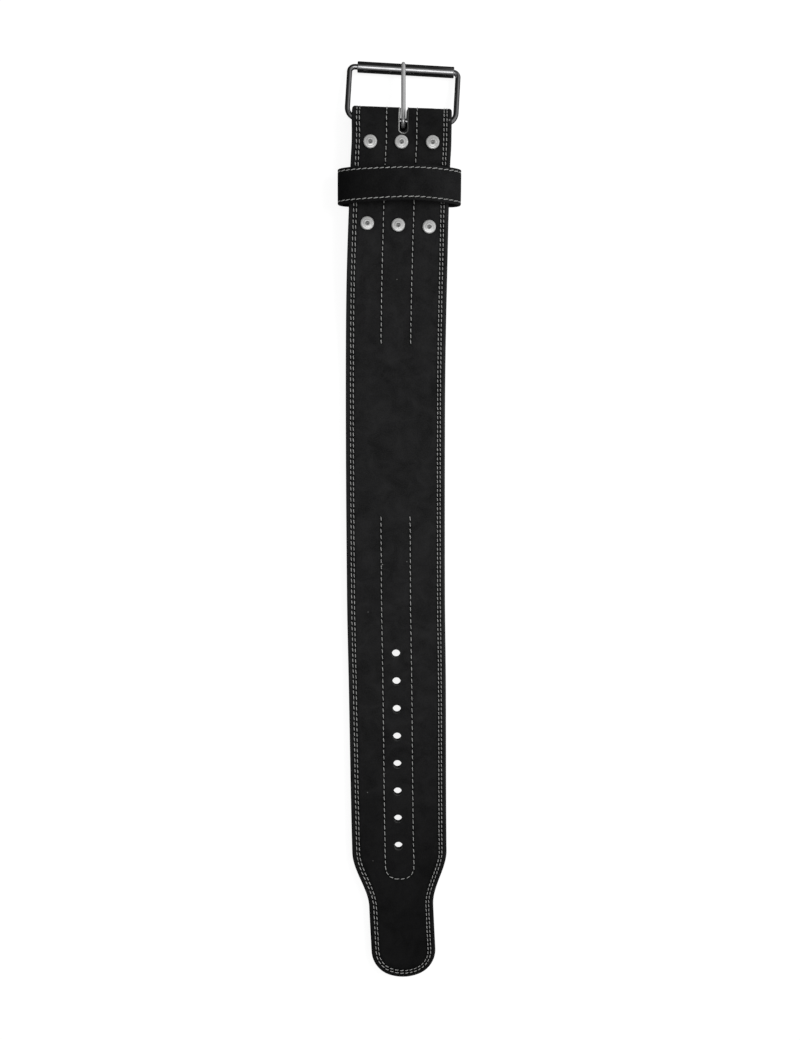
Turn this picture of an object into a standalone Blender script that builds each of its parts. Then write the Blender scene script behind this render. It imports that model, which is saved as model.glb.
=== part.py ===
"""Single-prong weightlifting belt of thick suede leather, lying flat with its face up.

Metres, +Z up. +Y runs along the belt towards the buckle and +X across it. The origin is on the
surface that the belt lies on, midway between the roller and the tip of the tongue.
"""
import math

import bmesh
import bpy
from mathutils import Matrix, Vector

# Strap
BELT_LENGTH = 0.8763        # axis of the buckle's inner bar to the tip of the tongue
STRAP_WIDTH = 0.1000
STRAP_WALL = 0.0100
FOLD_WALL = 0.0089          # skived stretch that goes round the bar and back
EDGE_ROUND = 0.0028
FOLD_BACK_MARGIN = 0.0210   # second row of rivets to the cut end of the layer underneath
FOLD_BACK_CORNER = 0.0080
FOLD_YAW = math.radians(1.9)
FLOOR_RUN = 0.1490          # end of that layer to where the strap comes down to the floor

# Tongue
TONGUE_REACH = 0.1353       # tip to where the strap begins to narrow
SHOULDER_LENGTH = 0.0580
TONGUE_WIDTH = 0.0671
TIP_ARC = 0.0440            # radius of the end of the tongue
TIP_CORNER = 0.0280         # radius between its side and its end

# Adjusting holes
HOLE_COUNT = 8
HOLE_DIAMETER = 0.0085
HOLE_PITCH = 0.02896
LAST_HOLE = 0.14188         # tip to the last hole
HOLE_SIDE = -0.0008         # row of holes from the strap's centreline

# Buckle
FRAME_WIRE = 0.0052
FRAME_ROOM = 0.0009         # between a leg and the edge of a strap of full width
BAR_SPACING = 0.0520        # inner bar to outer bar
INNER_CORNER = 0.0110
OUTER_CORNER = 0.0050
FRAME_YAW = math.radians(3.3)
FRAME_SIDE = -0.0006        # middle of the frame from the strap's centreline
CHANNEL_SLACK = 0.0014      # room round the bar inside the fold
BELL_MOUTH_TURN = math.radians(80)      # part of the frame's corner that the fold makes room for
ROLLER_WALL = 0.0024
ROLLER_PLAY = 0.0018        # by which it is shorter than the straight stretch of its bar
ROLLER_SOFTENING = 0.0006   # at the rims of its ends
ROLLER_SIDE = 0.0017        # where the roller has slid to along its bar
PRONG_WIRE = 0.0043
PRONG_SIDE = 0.0023         # middle of the prong's eye from the middle of the frame
PRONG_SKEW = math.radians(3.3)
PRONG_OVERHANG = math.radians(22)
PRONG_TIP_SHARE = 0.72
EYE_WRAP = math.radians(258)
SLOT_SIDE_ROOM = 0.00215    # each side of the prong
SLOT_END_ROOM = 0.0048      # between the prong's eye and the point of the slot
SLOT_POINT = 0.0034         # length of the pointed end
SLOT_TIP = 0.0028           # width left at the point

# Keeper
KEEPER_WIDTH = 0.0345
KEEPER_WALL = 0.0036
KEEPER_ROOM = 0.0071        # inside, between the strap's edge and each side
KEEPER_STATION = 0.0654     # bar axis to its middle
KEEPER_YAW = math.radians(0.3)
KEEPER_TURN = 0.0099        # sideways reach of each rounded side, below its widest level
KEEPER_WAIST = 0.0107       # its widest level, above the top of the layer underneath
KEEPER_EDGE = 0.0008
TONGUE_ROOM = 0.0015        # under the keeper, over a tongue lying on the strap

# Rivets
FIRST_ROW = 0.0225          # bar axis to the first row
SECOND_ROW_GAP = 0.01935    # keeper's edge to the second row
RIVET_EDGE = 0.0195         # outer rivets from the strap's edge
RIVET_HEAD = 0.0132
RIVET_HEAD_HEIGHT = 0.0020
RIVET_BORE = 0.0044
RIVET_BORE_DEPTH = 0.0030
RIVET_TUBE_WALL = 0.0008
RIVET_CAP = 0.0110
RIVET_CAP_WALL = 0.0012
RIVET_LAND = 0.0080         # flat stretch of strap each side of a row
PINCH_GAP = 0.0029          # between the two layers at the row behind the keeper

# Clearances
GAP = 0.0003                # between pieces that touch
FLOOR_GAP = 0.0001          # between the floor and what lies on it beside the strap
CUT_MARGIN = 0.0100         # by which a cutter runs past what it cuts
SLOPE_STEP = 0.0005         # length over which a slope is taken
SLIVER = 0.00003            # slivers left by the cuts, narrower than this, are closed up
TINY = 0.00001

# Centreline: share of the belt's length from the bar, sideways as a share of the strap's width
BOW = (
    (0.000, 0.0215),
    (0.026, 0.0195),
    (0.045, 0.0104),
    (0.075, -0.0010),
    (0.200, -0.0310),
    (0.320, -0.0410),
    (0.540, -0.0360),
    (0.640, -0.0230),
    (0.830, -0.0040),
    (0.910, 0.0170),
    (1.000, 0.0560),
)

# Width up to the shoulder: share of the belt's length, share of the strap's width
WIDTHS = (
    (0.000, 0.977),
    (0.060, 0.979),
    (0.200, 0.999),
    (0.550, 1.003),
    (0.650, 1.000),
    (1.000, 0.970),
)

# Powers of sine and cosine that draw the keeper's domed front: sideways, upwards
KEEPER_DOME = (0.77, 1.25)

# Turned profile of a rivet's head: share of its radius, share of its height above its seat
HEAD_PROFILE = (
    (0.45, 1.00),
    (0.62, 0.90),
    (0.80, 0.92),
    (0.94, 0.66),
    (1.00, 0.36),
    (0.98, 0.00),
)

# Turned profile of the dimple in that head: share of its radius, share of its depth
DIMPLE_PROFILE = (
    (0.0, 1.0),
    (0.8, 1.0),
    (1.0, 0.2),
)

BEND_SIDES = 10
TUBE_SIDES = 24
RIVET_SIDES = 18
HOLE_SIDES = 20

# Worked out from the sizes above
BAR_RADIUS = FRAME_WIRE / 2
CHANNEL_RADIUS = BAR_RADIUS + CHANNEL_SLACK
BAR_HEIGHT = FOLD_WALL + CHANNEL_RADIUS
BEND_LENGTH = math.pi * (CHANNEL_RADIUS + FOLD_WALL / 2)
FRAME_WIDTH = STRAP_WIDTH + 2 * FRAME_ROOM + FRAME_WIRE
ROLLER_BORE_RADIUS = BAR_RADIUS + GAP
ROLLER_RADIUS = ROLLER_BORE_RADIUS + ROLLER_WALL
ROLLER_LENGTH = FRAME_WIDTH - 2 * OUTER_CORNER - ROLLER_PLAY
EYE_RADIUS = BAR_RADIUS + GAP + PRONG_WIRE / 2
SLOT_LENGTH = EYE_RADIUS + PRONG_WIRE / 2 + SLOT_END_ROOM
SLOT_WIDTH = PRONG_WIRE + 2 * SLOT_SIDE_ROOM
FRAME_DROP = math.asin((BAR_HEIGHT - ROLLER_RADIUS - FLOOR_GAP) / BAR_SPACING)
ROLLER_END = ROLLER_LENGTH / 2 - ROLLER_SIDE
BUCKLE_REACH = (
    BAR_SPACING * math.cos(FRAME_DROP) * math.cos(FRAME_YAW)
    + ROLLER_END * math.sin(FRAME_YAW)
    + ROLLER_RADIUS
)
BAR_Y = (BELT_LENGTH - BUCKLE_REACH) / 2
LAYER_GAP = KEEPER_WALL + 2 * GAP
FACE_HEIGHT = FOLD_WALL + LAYER_GAP + STRAP_WALL
KEEPER_END = KEEPER_STATION + KEEPER_WIDTH / 2
KEEPER_SPAN = STRAP_WIDTH + 2 * (KEEPER_ROOM + KEEPER_WALL)
SECOND_ROW = KEEPER_END + SECOND_ROW_GAP
FOLD_BACK_LENGTH = SECOND_ROW + FOLD_BACK_MARGIN
FLOOR_REACH = FOLD_BACK_LENGTH + FLOOR_RUN
RIVET_SPACING = STRAP_WIDTH / 2 - RIVET_EDGE
RIVET_SHANK = RIVET_BORE + 2 * RIVET_TUBE_WALL
SHOULDER_START = BELT_LENGTH - TONGUE_REACH
FIRST_HOLE = BELT_LENGTH - LAST_HOLE - (HOLE_COUNT - 1) * HOLE_PITCH

# Rows of rivets: distance from the bar axis, and turn from square across the strap
RIVET_ROWS = (
    (FIRST_ROW, math.radians(-1.2)),
    (SECOND_ROW, math.radians(1.5)),
)


def clear_scene():
    for item in list(bpy.data.objects):
        bpy.data.objects.remove(item, do_unlink=True)


def ease(share):
    """Smooth step from 0 to 1."""
    share = min(max(share, 0.0), 1.0)
    return share * share * (3 - 2 * share)


def table_value(rows, share):
    """Smooth curve through a table's rows."""
    share = min(max(share, rows[0][0]), rows[-1][0])
    index = 0
    while index < len(rows) - 2 and share > rows[index + 1][0]:
        index += 1

    def slope(i):
        before, after = rows[max(i - 1, 0)], rows[min(i + 1, len(rows) - 1)]
        return (after[1] - before[1]) / (after[0] - before[0])

    (low, start), (high, end) = rows[index], rows[index + 1]
    span = high - low
    t = (share - low) / span
    return (
        start * (2 * t ** 3 - 3 * t ** 2 + 1)
        + slope(index) * span * (t ** 3 - 2 * t ** 2 + t)
        + end * (3 * t ** 2 - 2 * t ** 3)
        + slope(index + 1) * span * (t ** 3 - t ** 2)
    )


def bow_side(station):
    """Sideways place of the strap's centreline at a distance from the bar."""
    return STRAP_WIDTH * table_value(BOW, station / BELT_LENGTH)


KEEPER_SIDE = bow_side(KEEPER_STATION)


def centre_of_strap(station):
    """Point of the centreline in plan, with X measured from the middle of the keeper."""
    return Vector((bow_side(station) - KEEPER_SIDE, BAR_Y - station, 0.0))


def yaw_of_strap(station):
    """Turn of the strap at a station, clockwise seen from above: the fold's own at the bar."""
    low, high = max(station - SLOPE_STEP, 0.0), station + SLOPE_STEP
    bend = math.atan((bow_side(low) - bow_side(high)) / (high - low))
    return FOLD_YAW + (bend - FOLD_YAW) * ease(station / KEEPER_STATION)


def across_strap(station):
    yaw = yaw_of_strap(station)
    return Vector((math.cos(yaw), -math.sin(yaw), 0.0))


def profile_knots():
    """Height of the face layer's inner side, at distances from the bar."""
    held_apart = FOLD_WALL + LAYER_GAP
    pinched = FOLD_WALL + PINCH_GAP
    return (
        (0.0, BAR_HEIGHT + CHANNEL_RADIUS),
        (FIRST_ROW - RIVET_LAND, held_apart),
        (KEEPER_END + GAP, held_apart),
        (SECOND_ROW - RIVET_LAND, pinched),
        (SECOND_ROW + RIVET_LAND, pinched),
        (FLOOR_REACH, 0.0),
    )


def inner_height(station):
    knots = profile_knots()
    for (low, start), (high, end) in zip(knots, knots[1:]):
        if station <= high:
            return start + (end - start) * ease((station - low) / (high - low))
    return 0.0


def face_wall(station):
    """Thickness of the face layer, thinned towards the fold."""
    return FOLD_WALL + (STRAP_WALL - FOLD_WALL) * ease(station / (FIRST_ROW - RIVET_LAND))


def strap_point(along, side, depth):
    """Place of a point of the flat blank once it is folded.

    along runs from the bar's axis towards the tip, and below zero round the fold and back.
    depth runs through the leather, from -0.5 on the inner side to 0.5 on the outer side.
    """
    if along >= 0:
        wall = face_wall(along)
        low, high = max(along - SLOPE_STEP, 0.0), along + SLOPE_STEP
        slope = (inner_height(high) - inner_height(low)) / (high - low)
        normal = Vector((0.0, slope, 1.0)).normalized()
        middle = centre_of_strap(along) + across_strap(along) * side
        return middle + Vector((0, 0, inner_height(along))) + normal * wall * (depth + 0.5)
    if along >= -BEND_LENGTH:
        angle = math.pi / 2 + math.pi * along / BEND_LENGTH
        radius = CHANNEL_RADIUS + FOLD_WALL * (depth + 0.5)
        outward = Vector((math.sin(FOLD_YAW), math.cos(FOLD_YAW), 0.0))
        point = centre_of_strap(0) + across_strap(0) * side + outward * radius * math.cos(angle)
        return point + Vector((0, 0, BAR_HEIGHT + radius * math.sin(angle)))
    station = -(along + BEND_LENGTH)
    point = centre_of_strap(station) + across_strap(station) * side
    return point + Vector((0, 0, FOLD_WALL * (0.5 - depth)))


def on_face(station, side, height=0.0):
    """Point on the strap's face, or a height above it."""
    return strap_point(station, side, 0.5) + Vector((0, 0, height))


def half_width(station):
    """Half the strap's width, up to where the tongue's end begins to round."""
    share = SHOULDER_START / BELT_LENGTH
    strap = STRAP_WIDTH * table_value(WIDTHS, min(station / BELT_LENGTH, share)) / 2
    narrowing = ease((station - SHOULDER_START) / SHOULDER_LENGTH)
    return strap + (TONGUE_WIDTH / 2 - strap) * narrowing


def tip_outline():
    """Right half of the tongue's end: stations and half widths, side to tip."""
    half = TONGUE_WIDTH / 2
    end_centre = BELT_LENGTH - TIP_ARC
    corner_side = half - TIP_CORNER
    corner_centre = end_centre + math.sqrt((TIP_ARC - TIP_CORNER) ** 2 - corner_side ** 2)
    meet = math.atan2(corner_side, corner_centre - end_centre)
    points = []
    corner_steps, end_steps = 6, 3
    for i in range(corner_steps + 1):
        angle = math.pi / 2 + (meet - math.pi / 2) * i / corner_steps
        points.append((corner_centre + TIP_CORNER * math.cos(angle),
                       corner_side + TIP_CORNER * math.sin(angle)))
    for i in range(1, end_steps):
        angle = meet * (1 - i / end_steps)
        points.append((end_centre + TIP_ARC * math.cos(angle), TIP_ARC * math.sin(angle)))
    return points


def strap_stations():
    """Where the blank is cut across, from the end of the fold-back to the tongue's end."""
    # Each row: where a stretch starts, and how many panels it has
    stretches = (
        (-BEND_LENGTH - FOLD_BACK_LENGTH + FOLD_BACK_CORNER, 3),
        (-BEND_LENGTH, BEND_SIDES),
        (0.0, 4),
        (FIRST_ROW - RIVET_LAND, 3),
        (KEEPER_END + GAP, 2),
        (SECOND_ROW - RIVET_LAND, 1),
        (SECOND_ROW + RIVET_LAND, 9),
        (FLOOR_REACH, 4),
        (FIRST_HOLE - HOLE_PITCH / 2, HOLE_COUNT - 1),
        (FIRST_HOLE + (HOLE_COUNT - 1.5) * HOLE_PITCH, 1),
        (SHOULDER_START, 6),
        (SHOULDER_START + SHOULDER_LENGTH, 1),
    )
    stations = []
    for (low, panels), (high, _) in zip(stretches, stretches[1:]):
        stations += [low + (high - low) * i / panels for i in range(panels)]
    return stations + [stretches[-1][0]]


def blank_outline():
    """Right half of the flat blank's outline, from the fold-back's end to the tip."""
    back_end = -BEND_LENGTH - FOLD_BACK_LENGTH
    half = half_width(0)
    corner_steps = 4
    points = []
    for i in range(corner_steps):
        angle = math.pi / 2 * i / corner_steps
        points.append((back_end + FOLD_BACK_CORNER * (1 - math.cos(angle)),
                       half - FOLD_BACK_CORNER * (1 - math.sin(angle))))
    for station in strap_stations():
        points.append((station, half_width(max(station, 0.0, -station - BEND_LENGTH))))
    return points + tip_outline()


def make_material(name, colour, roughness, metallic):
    material = bpy.data.materials.new(name)
    material.use_nodes = True
    shader = material.node_tree.nodes["Principled BSDF"]
    shader.inputs["Base Color"].default_value = (*colour, 1.0)
    shader.inputs["Roughness"].default_value = roughness
    shader.inputs["Metallic"].default_value = metallic
    material.diffuse_color = (*colour, 1.0)
    return material


def new_object(name, data, collection, material=None):
    item = bpy.data.objects.new(name, data)
    collection.objects.link(item)
    if material:
        data.materials.append(material)
    return item


def mesh_from(work, name):
    bmesh.ops.recalc_face_normals(work, faces=work.faces)
    mesh = bpy.data.meshes.new(name)
    work.to_mesh(mesh)
    work.free()
    return mesh


def smooth(mesh, angle=35):
    mesh.shade_smooth()
    mesh.set_sharp_from_angle(angle=math.radians(angle))


def as_cutter(item):
    item.display_type = 'WIRE'
    item.hide_render = True
    return item


def turned(name, profile, sides, collection, material=None):
    """Solid or ring from a profile of radius and height, turned round its own Z axis."""
    mesh = bpy.data.meshes.new(name)
    on_axis = profile[0][0] < TINY
    count = len(profile)
    edges = [(i, i + 1) for i in range(count - 1)]
    if not on_axis:
        edges.append((count - 1, 0))
    mesh.from_pydata([(radius, 0, height) for radius, height in profile], edges, [])
    item = new_object(name, mesh, collection, material)
    screw = item.modifiers.new("turn", 'SCREW')
    screw.steps = screw.render_steps = sides
    screw.use_merge_vertices = True
    screw.merge_threshold = TINY
    screw.use_smooth_shade = False
    return item


def add_hole_cutters(cutters):
    """Round cutters through the tongue for the adjusting holes."""
    for i in range(HOLE_COUNT):
        name = f"hole_cutter_{i + 1}"
        work = bmesh.new()
        bmesh.ops.create_cone(work, cap_ends=True, segments=HOLE_SIDES, radius1=HOLE_DIAMETER / 2,
                              radius2=HOLE_DIAMETER / 2, depth=STRAP_WALL + 2 * CUT_MARGIN)
        cutter = as_cutter(new_object(name, mesh_from(work, name), cutters))
        place = on_face(FIRST_HOLE + i * HOLE_PITCH, HOLE_SIDE)
        cutter.location = (place.x, place.y, STRAP_WALL / 2)


def add_rivet_cutters(cutters):
    """Bores through both layers for the rivets, widened below for their caps."""
    bore = RIVET_SHANK / 2 + GAP
    recess = RIVET_CAP / 2 + GAP
    floor = RIVET_CAP_WALL + FLOOR_GAP + GAP
    top = FACE_HEIGHT + CUT_MARGIN
    profile = ((0, top), (bore, top), (bore, floor), (recess, floor), (recess, -CUT_MARGIN),
               (0, -CUT_MARGIN))
    for i, place in enumerate(rivet_places()):
        cutter = as_cutter(turned(f"rivet_cutter_{i + 1}", profile, RIVET_SIDES, cutters))
        cutter.location = (place.x, place.y, 0)


def build_strap(collection, cutters, material):
    """Flat blank with rounded edges, folded round the bar and cut."""
    work = bmesh.new()
    right = blank_outline()
    outline = right + [(BELT_LENGTH, 0.0)] + [(a, -w) for a, w in reversed(right)]
    rim = [work.verts.new((w, a, -STRAP_WALL / 2)) for a, w in outline]
    base = work.faces.new(rim)
    raised = bmesh.ops.extrude_face_region(work, geom=[base])
    upper = [v for v in raised["geom"] if isinstance(v, bmesh.types.BMVert)]
    bmesh.ops.translate(work, verts=upper, vec=(0, 0, STRAP_WALL))
    rims = [e for e in work.edges if abs(e.verts[0].co.z - e.verts[1].co.z) < TINY]
    bmesh.ops.bevel(work, geom=rims, offset=EDGE_ROUND, segments=2, profile=0.5,
                    affect='EDGES', material=-1, clamp_overlap=True)
    for station in strap_stations():
        geometry = work.verts[:] + work.edges[:] + work.faces[:]
        bmesh.ops.bisect_plane(work, geom=geometry, dist=TINY, plane_co=(0, station, 0),
                               plane_no=(0, 1, 0))
    for vert in work.verts:
        side, along, height = vert.co
        vert.co = strap_point(along, side, round(height / STRAP_WALL, 5))
    bmesh.ops.triangulate(work, faces=work.faces)
    mesh = mesh_from(work, "belt_strap")
    smooth(mesh)
    strap = new_object("belt_strap", mesh, collection, material)

    add_hole_cutters(cutters)
    add_rivet_cutters(cutters)
    add_slot_cutter(cutters)
    for end in (-1, 1):
        add_bell_mouth_cutter(cutters, end)
    cuts = strap.modifiers.new("cuts", 'BOOLEAN')
    cuts.operation = 'DIFFERENCE'
    cuts.solver = 'EXACT'
    cuts.operand_type = 'COLLECTION'
    cuts.collection = cutters
    weld = strap.modifiers.new("weld", 'WELD')
    weld.merge_threshold = SLIVER
    return strap


def bar_centre():
    """Middle of the frame's inner bar."""
    place = centre_of_strap(0) + across_strap(0) * FRAME_SIDE
    return Vector((place.x, place.y, BAR_HEIGHT))


def prong_centre():
    """Middle of the prong's eye, on the bar's axis."""
    along_bar = Vector((math.cos(FRAME_YAW), -math.sin(FRAME_YAW), 0))
    return bar_centre() + along_bar * PRONG_SIDE


def add_slot_cutter(cutters):
    """Slot through both layers of the fold, open at the fold and pointed behind the bar."""
    half = SLOT_WIDTH / 2
    open_end = CHANNEL_RADIUS + FOLD_WALL + CUT_MARGIN
    blunt = SLOT_TIP / 2
    outline = ((-half, open_end), (-half, -SLOT_LENGTH + SLOT_POINT), (-blunt, -SLOT_LENGTH),
               (blunt, -SLOT_LENGTH), (half, -SLOT_LENGTH + SLOT_POINT), (half, open_end))
    work = bmesh.new()
    base = work.faces.new([work.verts.new((x, y, -CUT_MARGIN)) for x, y in outline])
    raised = bmesh.ops.extrude_face_region(work, geom=[base])
    upper = [v for v in raised["geom"] if isinstance(v, bmesh.types.BMVert)]
    bmesh.ops.translate(work, verts=upper, vec=(0, 0, FACE_HEIGHT + 2 * CUT_MARGIN))
    cutter = as_cutter(new_object("slot_cutter", mesh_from(work, "slot_cutter"), cutters))
    centre = prong_centre()
    cutter.location = (centre.x, centre.y, 0)
    cutter.rotation_euler = (0, 0, -FOLD_YAW)


def add_bell_mouth_cutter(cutters, end):
    """Room inside the fold's end for the frame's corner, which turns with the frame."""
    straight = FRAME_WIDTH / 2 - INNER_CORNER
    inside = INNER_CORNER - BAR_RADIUS - GAP
    steps = 5
    turns = [BELL_MOUTH_TURN * i / steps for i in range(steps, -1, -1)]
    swept = [(INNER_CORNER - inside * math.cos(t), straight + inside * math.sin(t)) for t in turns]
    profile = [(0, swept[0][1])] + swept + [(0, straight)]
    name = "bell_mouth_cutter_right" if end > 0 else "bell_mouth_cutter_left"
    cutter = as_cutter(turned(name, profile, TUBE_SIDES, cutters))
    cutter.location = bar_centre()
    cutter.rotation_euler = (0, math.radians(90) * end, -FRAME_YAW)


def rivet_places():
    """Middles of the rivets in plan, row by row."""
    places = []
    for station, turn in RIVET_ROWS:
        for column in (-1, 0, 1):
            side = column * RIVET_SPACING
            places.append(on_face(station + side * math.tan(turn), side * math.cos(turn)))
    return places


def build_rivet(index, place, collection, material):
    """Tubular rivet: dished head on the face, shank through both layers, cap let in below."""
    head = RIVET_HEAD / 2
    seat = place.z + GAP
    top = seat + RIVET_HEAD_HEIGHT
    bore = RIVET_BORE / 2
    cap = RIVET_CAP / 2
    shank = RIVET_SHANK / 2
    cap_top = RIVET_CAP_WALL + FLOOR_GAP
    profile = [(bore * r, top - RIVET_BORE_DEPTH * d) for r, d in DIMPLE_PROFILE]
    profile += [(head * r, seat + RIVET_HEAD_HEIGHT * h) for r, h in HEAD_PROFILE]
    profile += [(shank, seat), (shank, cap_top), (cap, cap_top), (cap, FLOOR_GAP), (0, FLOOR_GAP)]
    rivet = turned(f"rivet_{index}", profile, RIVET_SIDES, collection, material)
    rivet.location = (place.x, place.y, 0)
    return rivet


def keeper_outline():
    """Middle line of the keeper's wall across the belt: side and height above the layer below."""
    half_wall = KEEPER_WALL / 2
    low = GAP + half_wall
    high = LAYER_GAP + 2 * STRAP_WALL + TONGUE_ROOM + half_wall
    half_span = KEEPER_SPAN / 2 - half_wall
    steps, dome_steps = 7, 13
    points = []
    for i in range(steps):
        angle = math.pi / 2 * (1 - i / steps)
        points.append((half_span - KEEPER_TURN * (1 - math.cos(angle)),
                       KEEPER_WAIST + (low - KEEPER_WAIST) * math.sin(angle)))
    for i in range(dome_steps):
        angle = math.pi / 2 * (1 - i / dome_steps)
        points.append((half_span * math.sin(angle) ** KEEPER_DOME[0],
                       KEEPER_WAIST + (high - KEEPER_WAIST) * math.cos(angle) ** KEEPER_DOME[1]))
    left = [(-x, z) for x, z in reversed(points)]
    return points + [(0.0, high)] + left


def build_keeper(collection, material):
    """Band of leather swept round the strap."""
    work = bmesh.new()
    front = [work.verts.new((x, -KEEPER_WIDTH / 2, z)) for x, z in keeper_outline()]
    loop = [work.edges.new((front[i - 1], front[i])) for i in range(len(front))]
    swept = bmesh.ops.extrude_edge_only(work, edges=loop)
    far = [v for v in swept["geom"] if isinstance(v, bmesh.types.BMVert)]
    bmesh.ops.translate(work, verts=far, vec=(0, KEEPER_WIDTH, 0))
    mesh = mesh_from(work, "keeper_loop")
    keeper = new_object("keeper_loop", mesh, collection, material)
    keeper.location = (0, BAR_Y - KEEPER_STATION, FOLD_WALL)
    keeper.rotation_euler = (0, 0, -KEEPER_YAW)
    wall = keeper.modifiers.new("wall", 'SOLIDIFY')
    wall.thickness = KEEPER_WALL
    wall.offset = 0
    wall.use_even_offset = True
    rounding = keeper.modifiers.new("rounding", 'BEVEL')
    rounding.width = KEEPER_EDGE
    rounding.segments = 2
    rounding.limit_method = 'ANGLE'
    rounding.angle_limit = math.radians(60)
    return keeper


def wire(name, points, radius, collection, material, closed=False, shares=None):
    """Round wire along a list of points."""
    curve = bpy.data.curves.new(name, 'CURVE')
    curve.dimensions = '3D'
    curve.bevel_depth = radius
    curve.bevel_resolution = 4
    curve.use_fill_caps = True
    spline = curve.splines.new('POLY')
    spline.points.add(len(points) - 1)
    for i, point in enumerate(points):
        spline.points[i].co = (*point, 1.0)
        spline.points[i].radius = shares[i] if shares else 1.0
    spline.use_cyclic_u = closed
    return new_object(name, curve, collection, material)


def frame_route():
    """Middle line of the frame's wire, in its own plane, with the inner bar on the X axis."""
    half = FRAME_WIDTH / 2
    corners = (
        (half - INNER_CORNER, INNER_CORNER, INNER_CORNER, -90, 8),
        (half - OUTER_CORNER, BAR_SPACING - OUTER_CORNER, OUTER_CORNER, 0, 6),
        (-half + OUTER_CORNER, BAR_SPACING - OUTER_CORNER, OUTER_CORNER, 90, 6),
        (-half + INNER_CORNER, INNER_CORNER, INNER_CORNER, 180, 8),
    )
    points = []
    for x, y, radius, start, steps in corners:
        for i in range(steps + 1):
            angle = math.radians(start + 90 * i / steps)
            points.append((x + radius * math.cos(angle), y + radius * math.sin(angle), 0.0))
    return points


def prong_route():
    """Middle line of the prong: its eye round the bar, its shank and its tip on the roller.

    Y runs towards the roller and Z up, from the bar's axis.
    """
    rest = ROLLER_RADIUS + GAP + PRONG_WIRE / 2
    reach = BAR_SPACING * math.cos(FRAME_DROP)
    drop = BAR_SPACING * math.sin(FRAME_DROP)
    distance = math.hypot(reach, drop)
    lean = math.atan2(drop, reach) - math.asin((rest - EYE_RADIUS) / distance)
    points = []
    eye_steps, tip_steps = 16, 3
    for i in range(eye_steps + 1):
        angle = math.pi / 2 - lean + EYE_WRAP * (1 - i / eye_steps)
        points.append(Vector((0, EYE_RADIUS * math.cos(angle), EYE_RADIUS * math.sin(angle))))
    for i in range(tip_steps + 1):
        angle = math.pi / 2 - lean - PRONG_OVERHANG * i / tip_steps
        points.append(Vector((0, reach + rest * math.cos(angle), -drop + rest * math.sin(angle))))
    for point in points:
        point.x = -math.tan(PRONG_SKEW) * max(point.y, 0.0)
    shares = [1.0] * (len(points) - 1) + [PRONG_TIP_SHARE]
    return points, shares


def build_roller(collection, material):
    """Tube with softened ends, turned round its own axis."""
    half = ROLLER_LENGTH / 2
    rim, shoulder = ROLLER_RADIUS - ROLLER_SOFTENING, half - ROLLER_SOFTENING
    profile = ((rim, half), (ROLLER_RADIUS, shoulder), (ROLLER_RADIUS, -shoulder), (rim, -half),
               (ROLLER_BORE_RADIUS, -half), (ROLLER_BORE_RADIUS, half))
    return turned("buckle_roller", profile, TUBE_SIDES, collection, material)


def build_buckle(collection, material):
    """Frame, roller and prong, each hung from an empty on its own axis."""
    hinge = new_object("frame_hinge", None, collection)
    hinge.location = bar_centre()
    hinge.rotation_euler = (-FRAME_DROP, 0, -FRAME_YAW)
    frame = wire("buckle_frame", frame_route(), BAR_RADIUS, collection, material, closed=True)
    frame.parent = hinge

    roller = build_roller(collection, material)
    roller.parent = hinge
    roller.location = (ROLLER_SIDE, BAR_SPACING, 0)
    roller.rotation_euler = (0, math.radians(90), 0)

    points, shares = prong_route()
    prong = wire("buckle_prong", points, PRONG_WIRE / 2, collection, material, shares=shares)
    prong.parent = hinge
    prong.matrix_parent_inverse = Matrix.Rotation(FRAME_DROP, 4, 'X')
    prong.location = (PRONG_SIDE, 0, 0)


def main():
    clear_scene()
    collection = bpy.data.collections.new("weightlifting_belt")
    cutters = bpy.data.collections.new("cutters")
    bpy.context.scene.collection.children.link(collection)
    bpy.context.scene.collection.children.link(cutters)

    suede = make_material("suede", (0.013, 0.013, 0.014), 0.95, 0.0)
    nickel = make_material("nickel", (0.62, 0.62, 0.63), 0.28, 1.0)
    chrome = make_material("chrome", (0.78, 0.78, 0.79), 0.12, 1.0)

    build_strap(collection, cutters, suede)
    build_keeper(collection, suede)
    for i, place in enumerate(rivet_places()):
        build_rivet(i + 1, place, collection, nickel)
    build_buckle(collection, chrome)


main()
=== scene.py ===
"""Looks of a single-prong weightlifting belt of thick black suede, lying face up.

The leather is drawn on its flat blank and folded as the real one is, and thread, rivets, keeper and
buckle are seated on it. Every length is in metres.
"""
import math
import random
from functools import lru_cache

import bmesh
import bpy
from mathutils import Matrix, Vector, noise


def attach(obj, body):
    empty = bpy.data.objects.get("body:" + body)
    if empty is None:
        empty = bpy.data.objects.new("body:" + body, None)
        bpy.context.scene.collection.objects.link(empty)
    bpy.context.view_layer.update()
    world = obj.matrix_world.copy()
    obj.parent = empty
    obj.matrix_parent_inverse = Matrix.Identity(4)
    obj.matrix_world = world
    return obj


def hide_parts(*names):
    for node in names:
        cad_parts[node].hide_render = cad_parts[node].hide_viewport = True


bl_info = {
    "name": "Weightlifting Belt Looks",
    "version": (1, 0, 0),
    "blender": (4, 5, 0),
    "location": "View3D > Sidebar > Belt",
    "description": "Leather, thread, rivets, keeper, buckle and stage of a weightlifting belt",
    "category": "Object",
}

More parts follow.
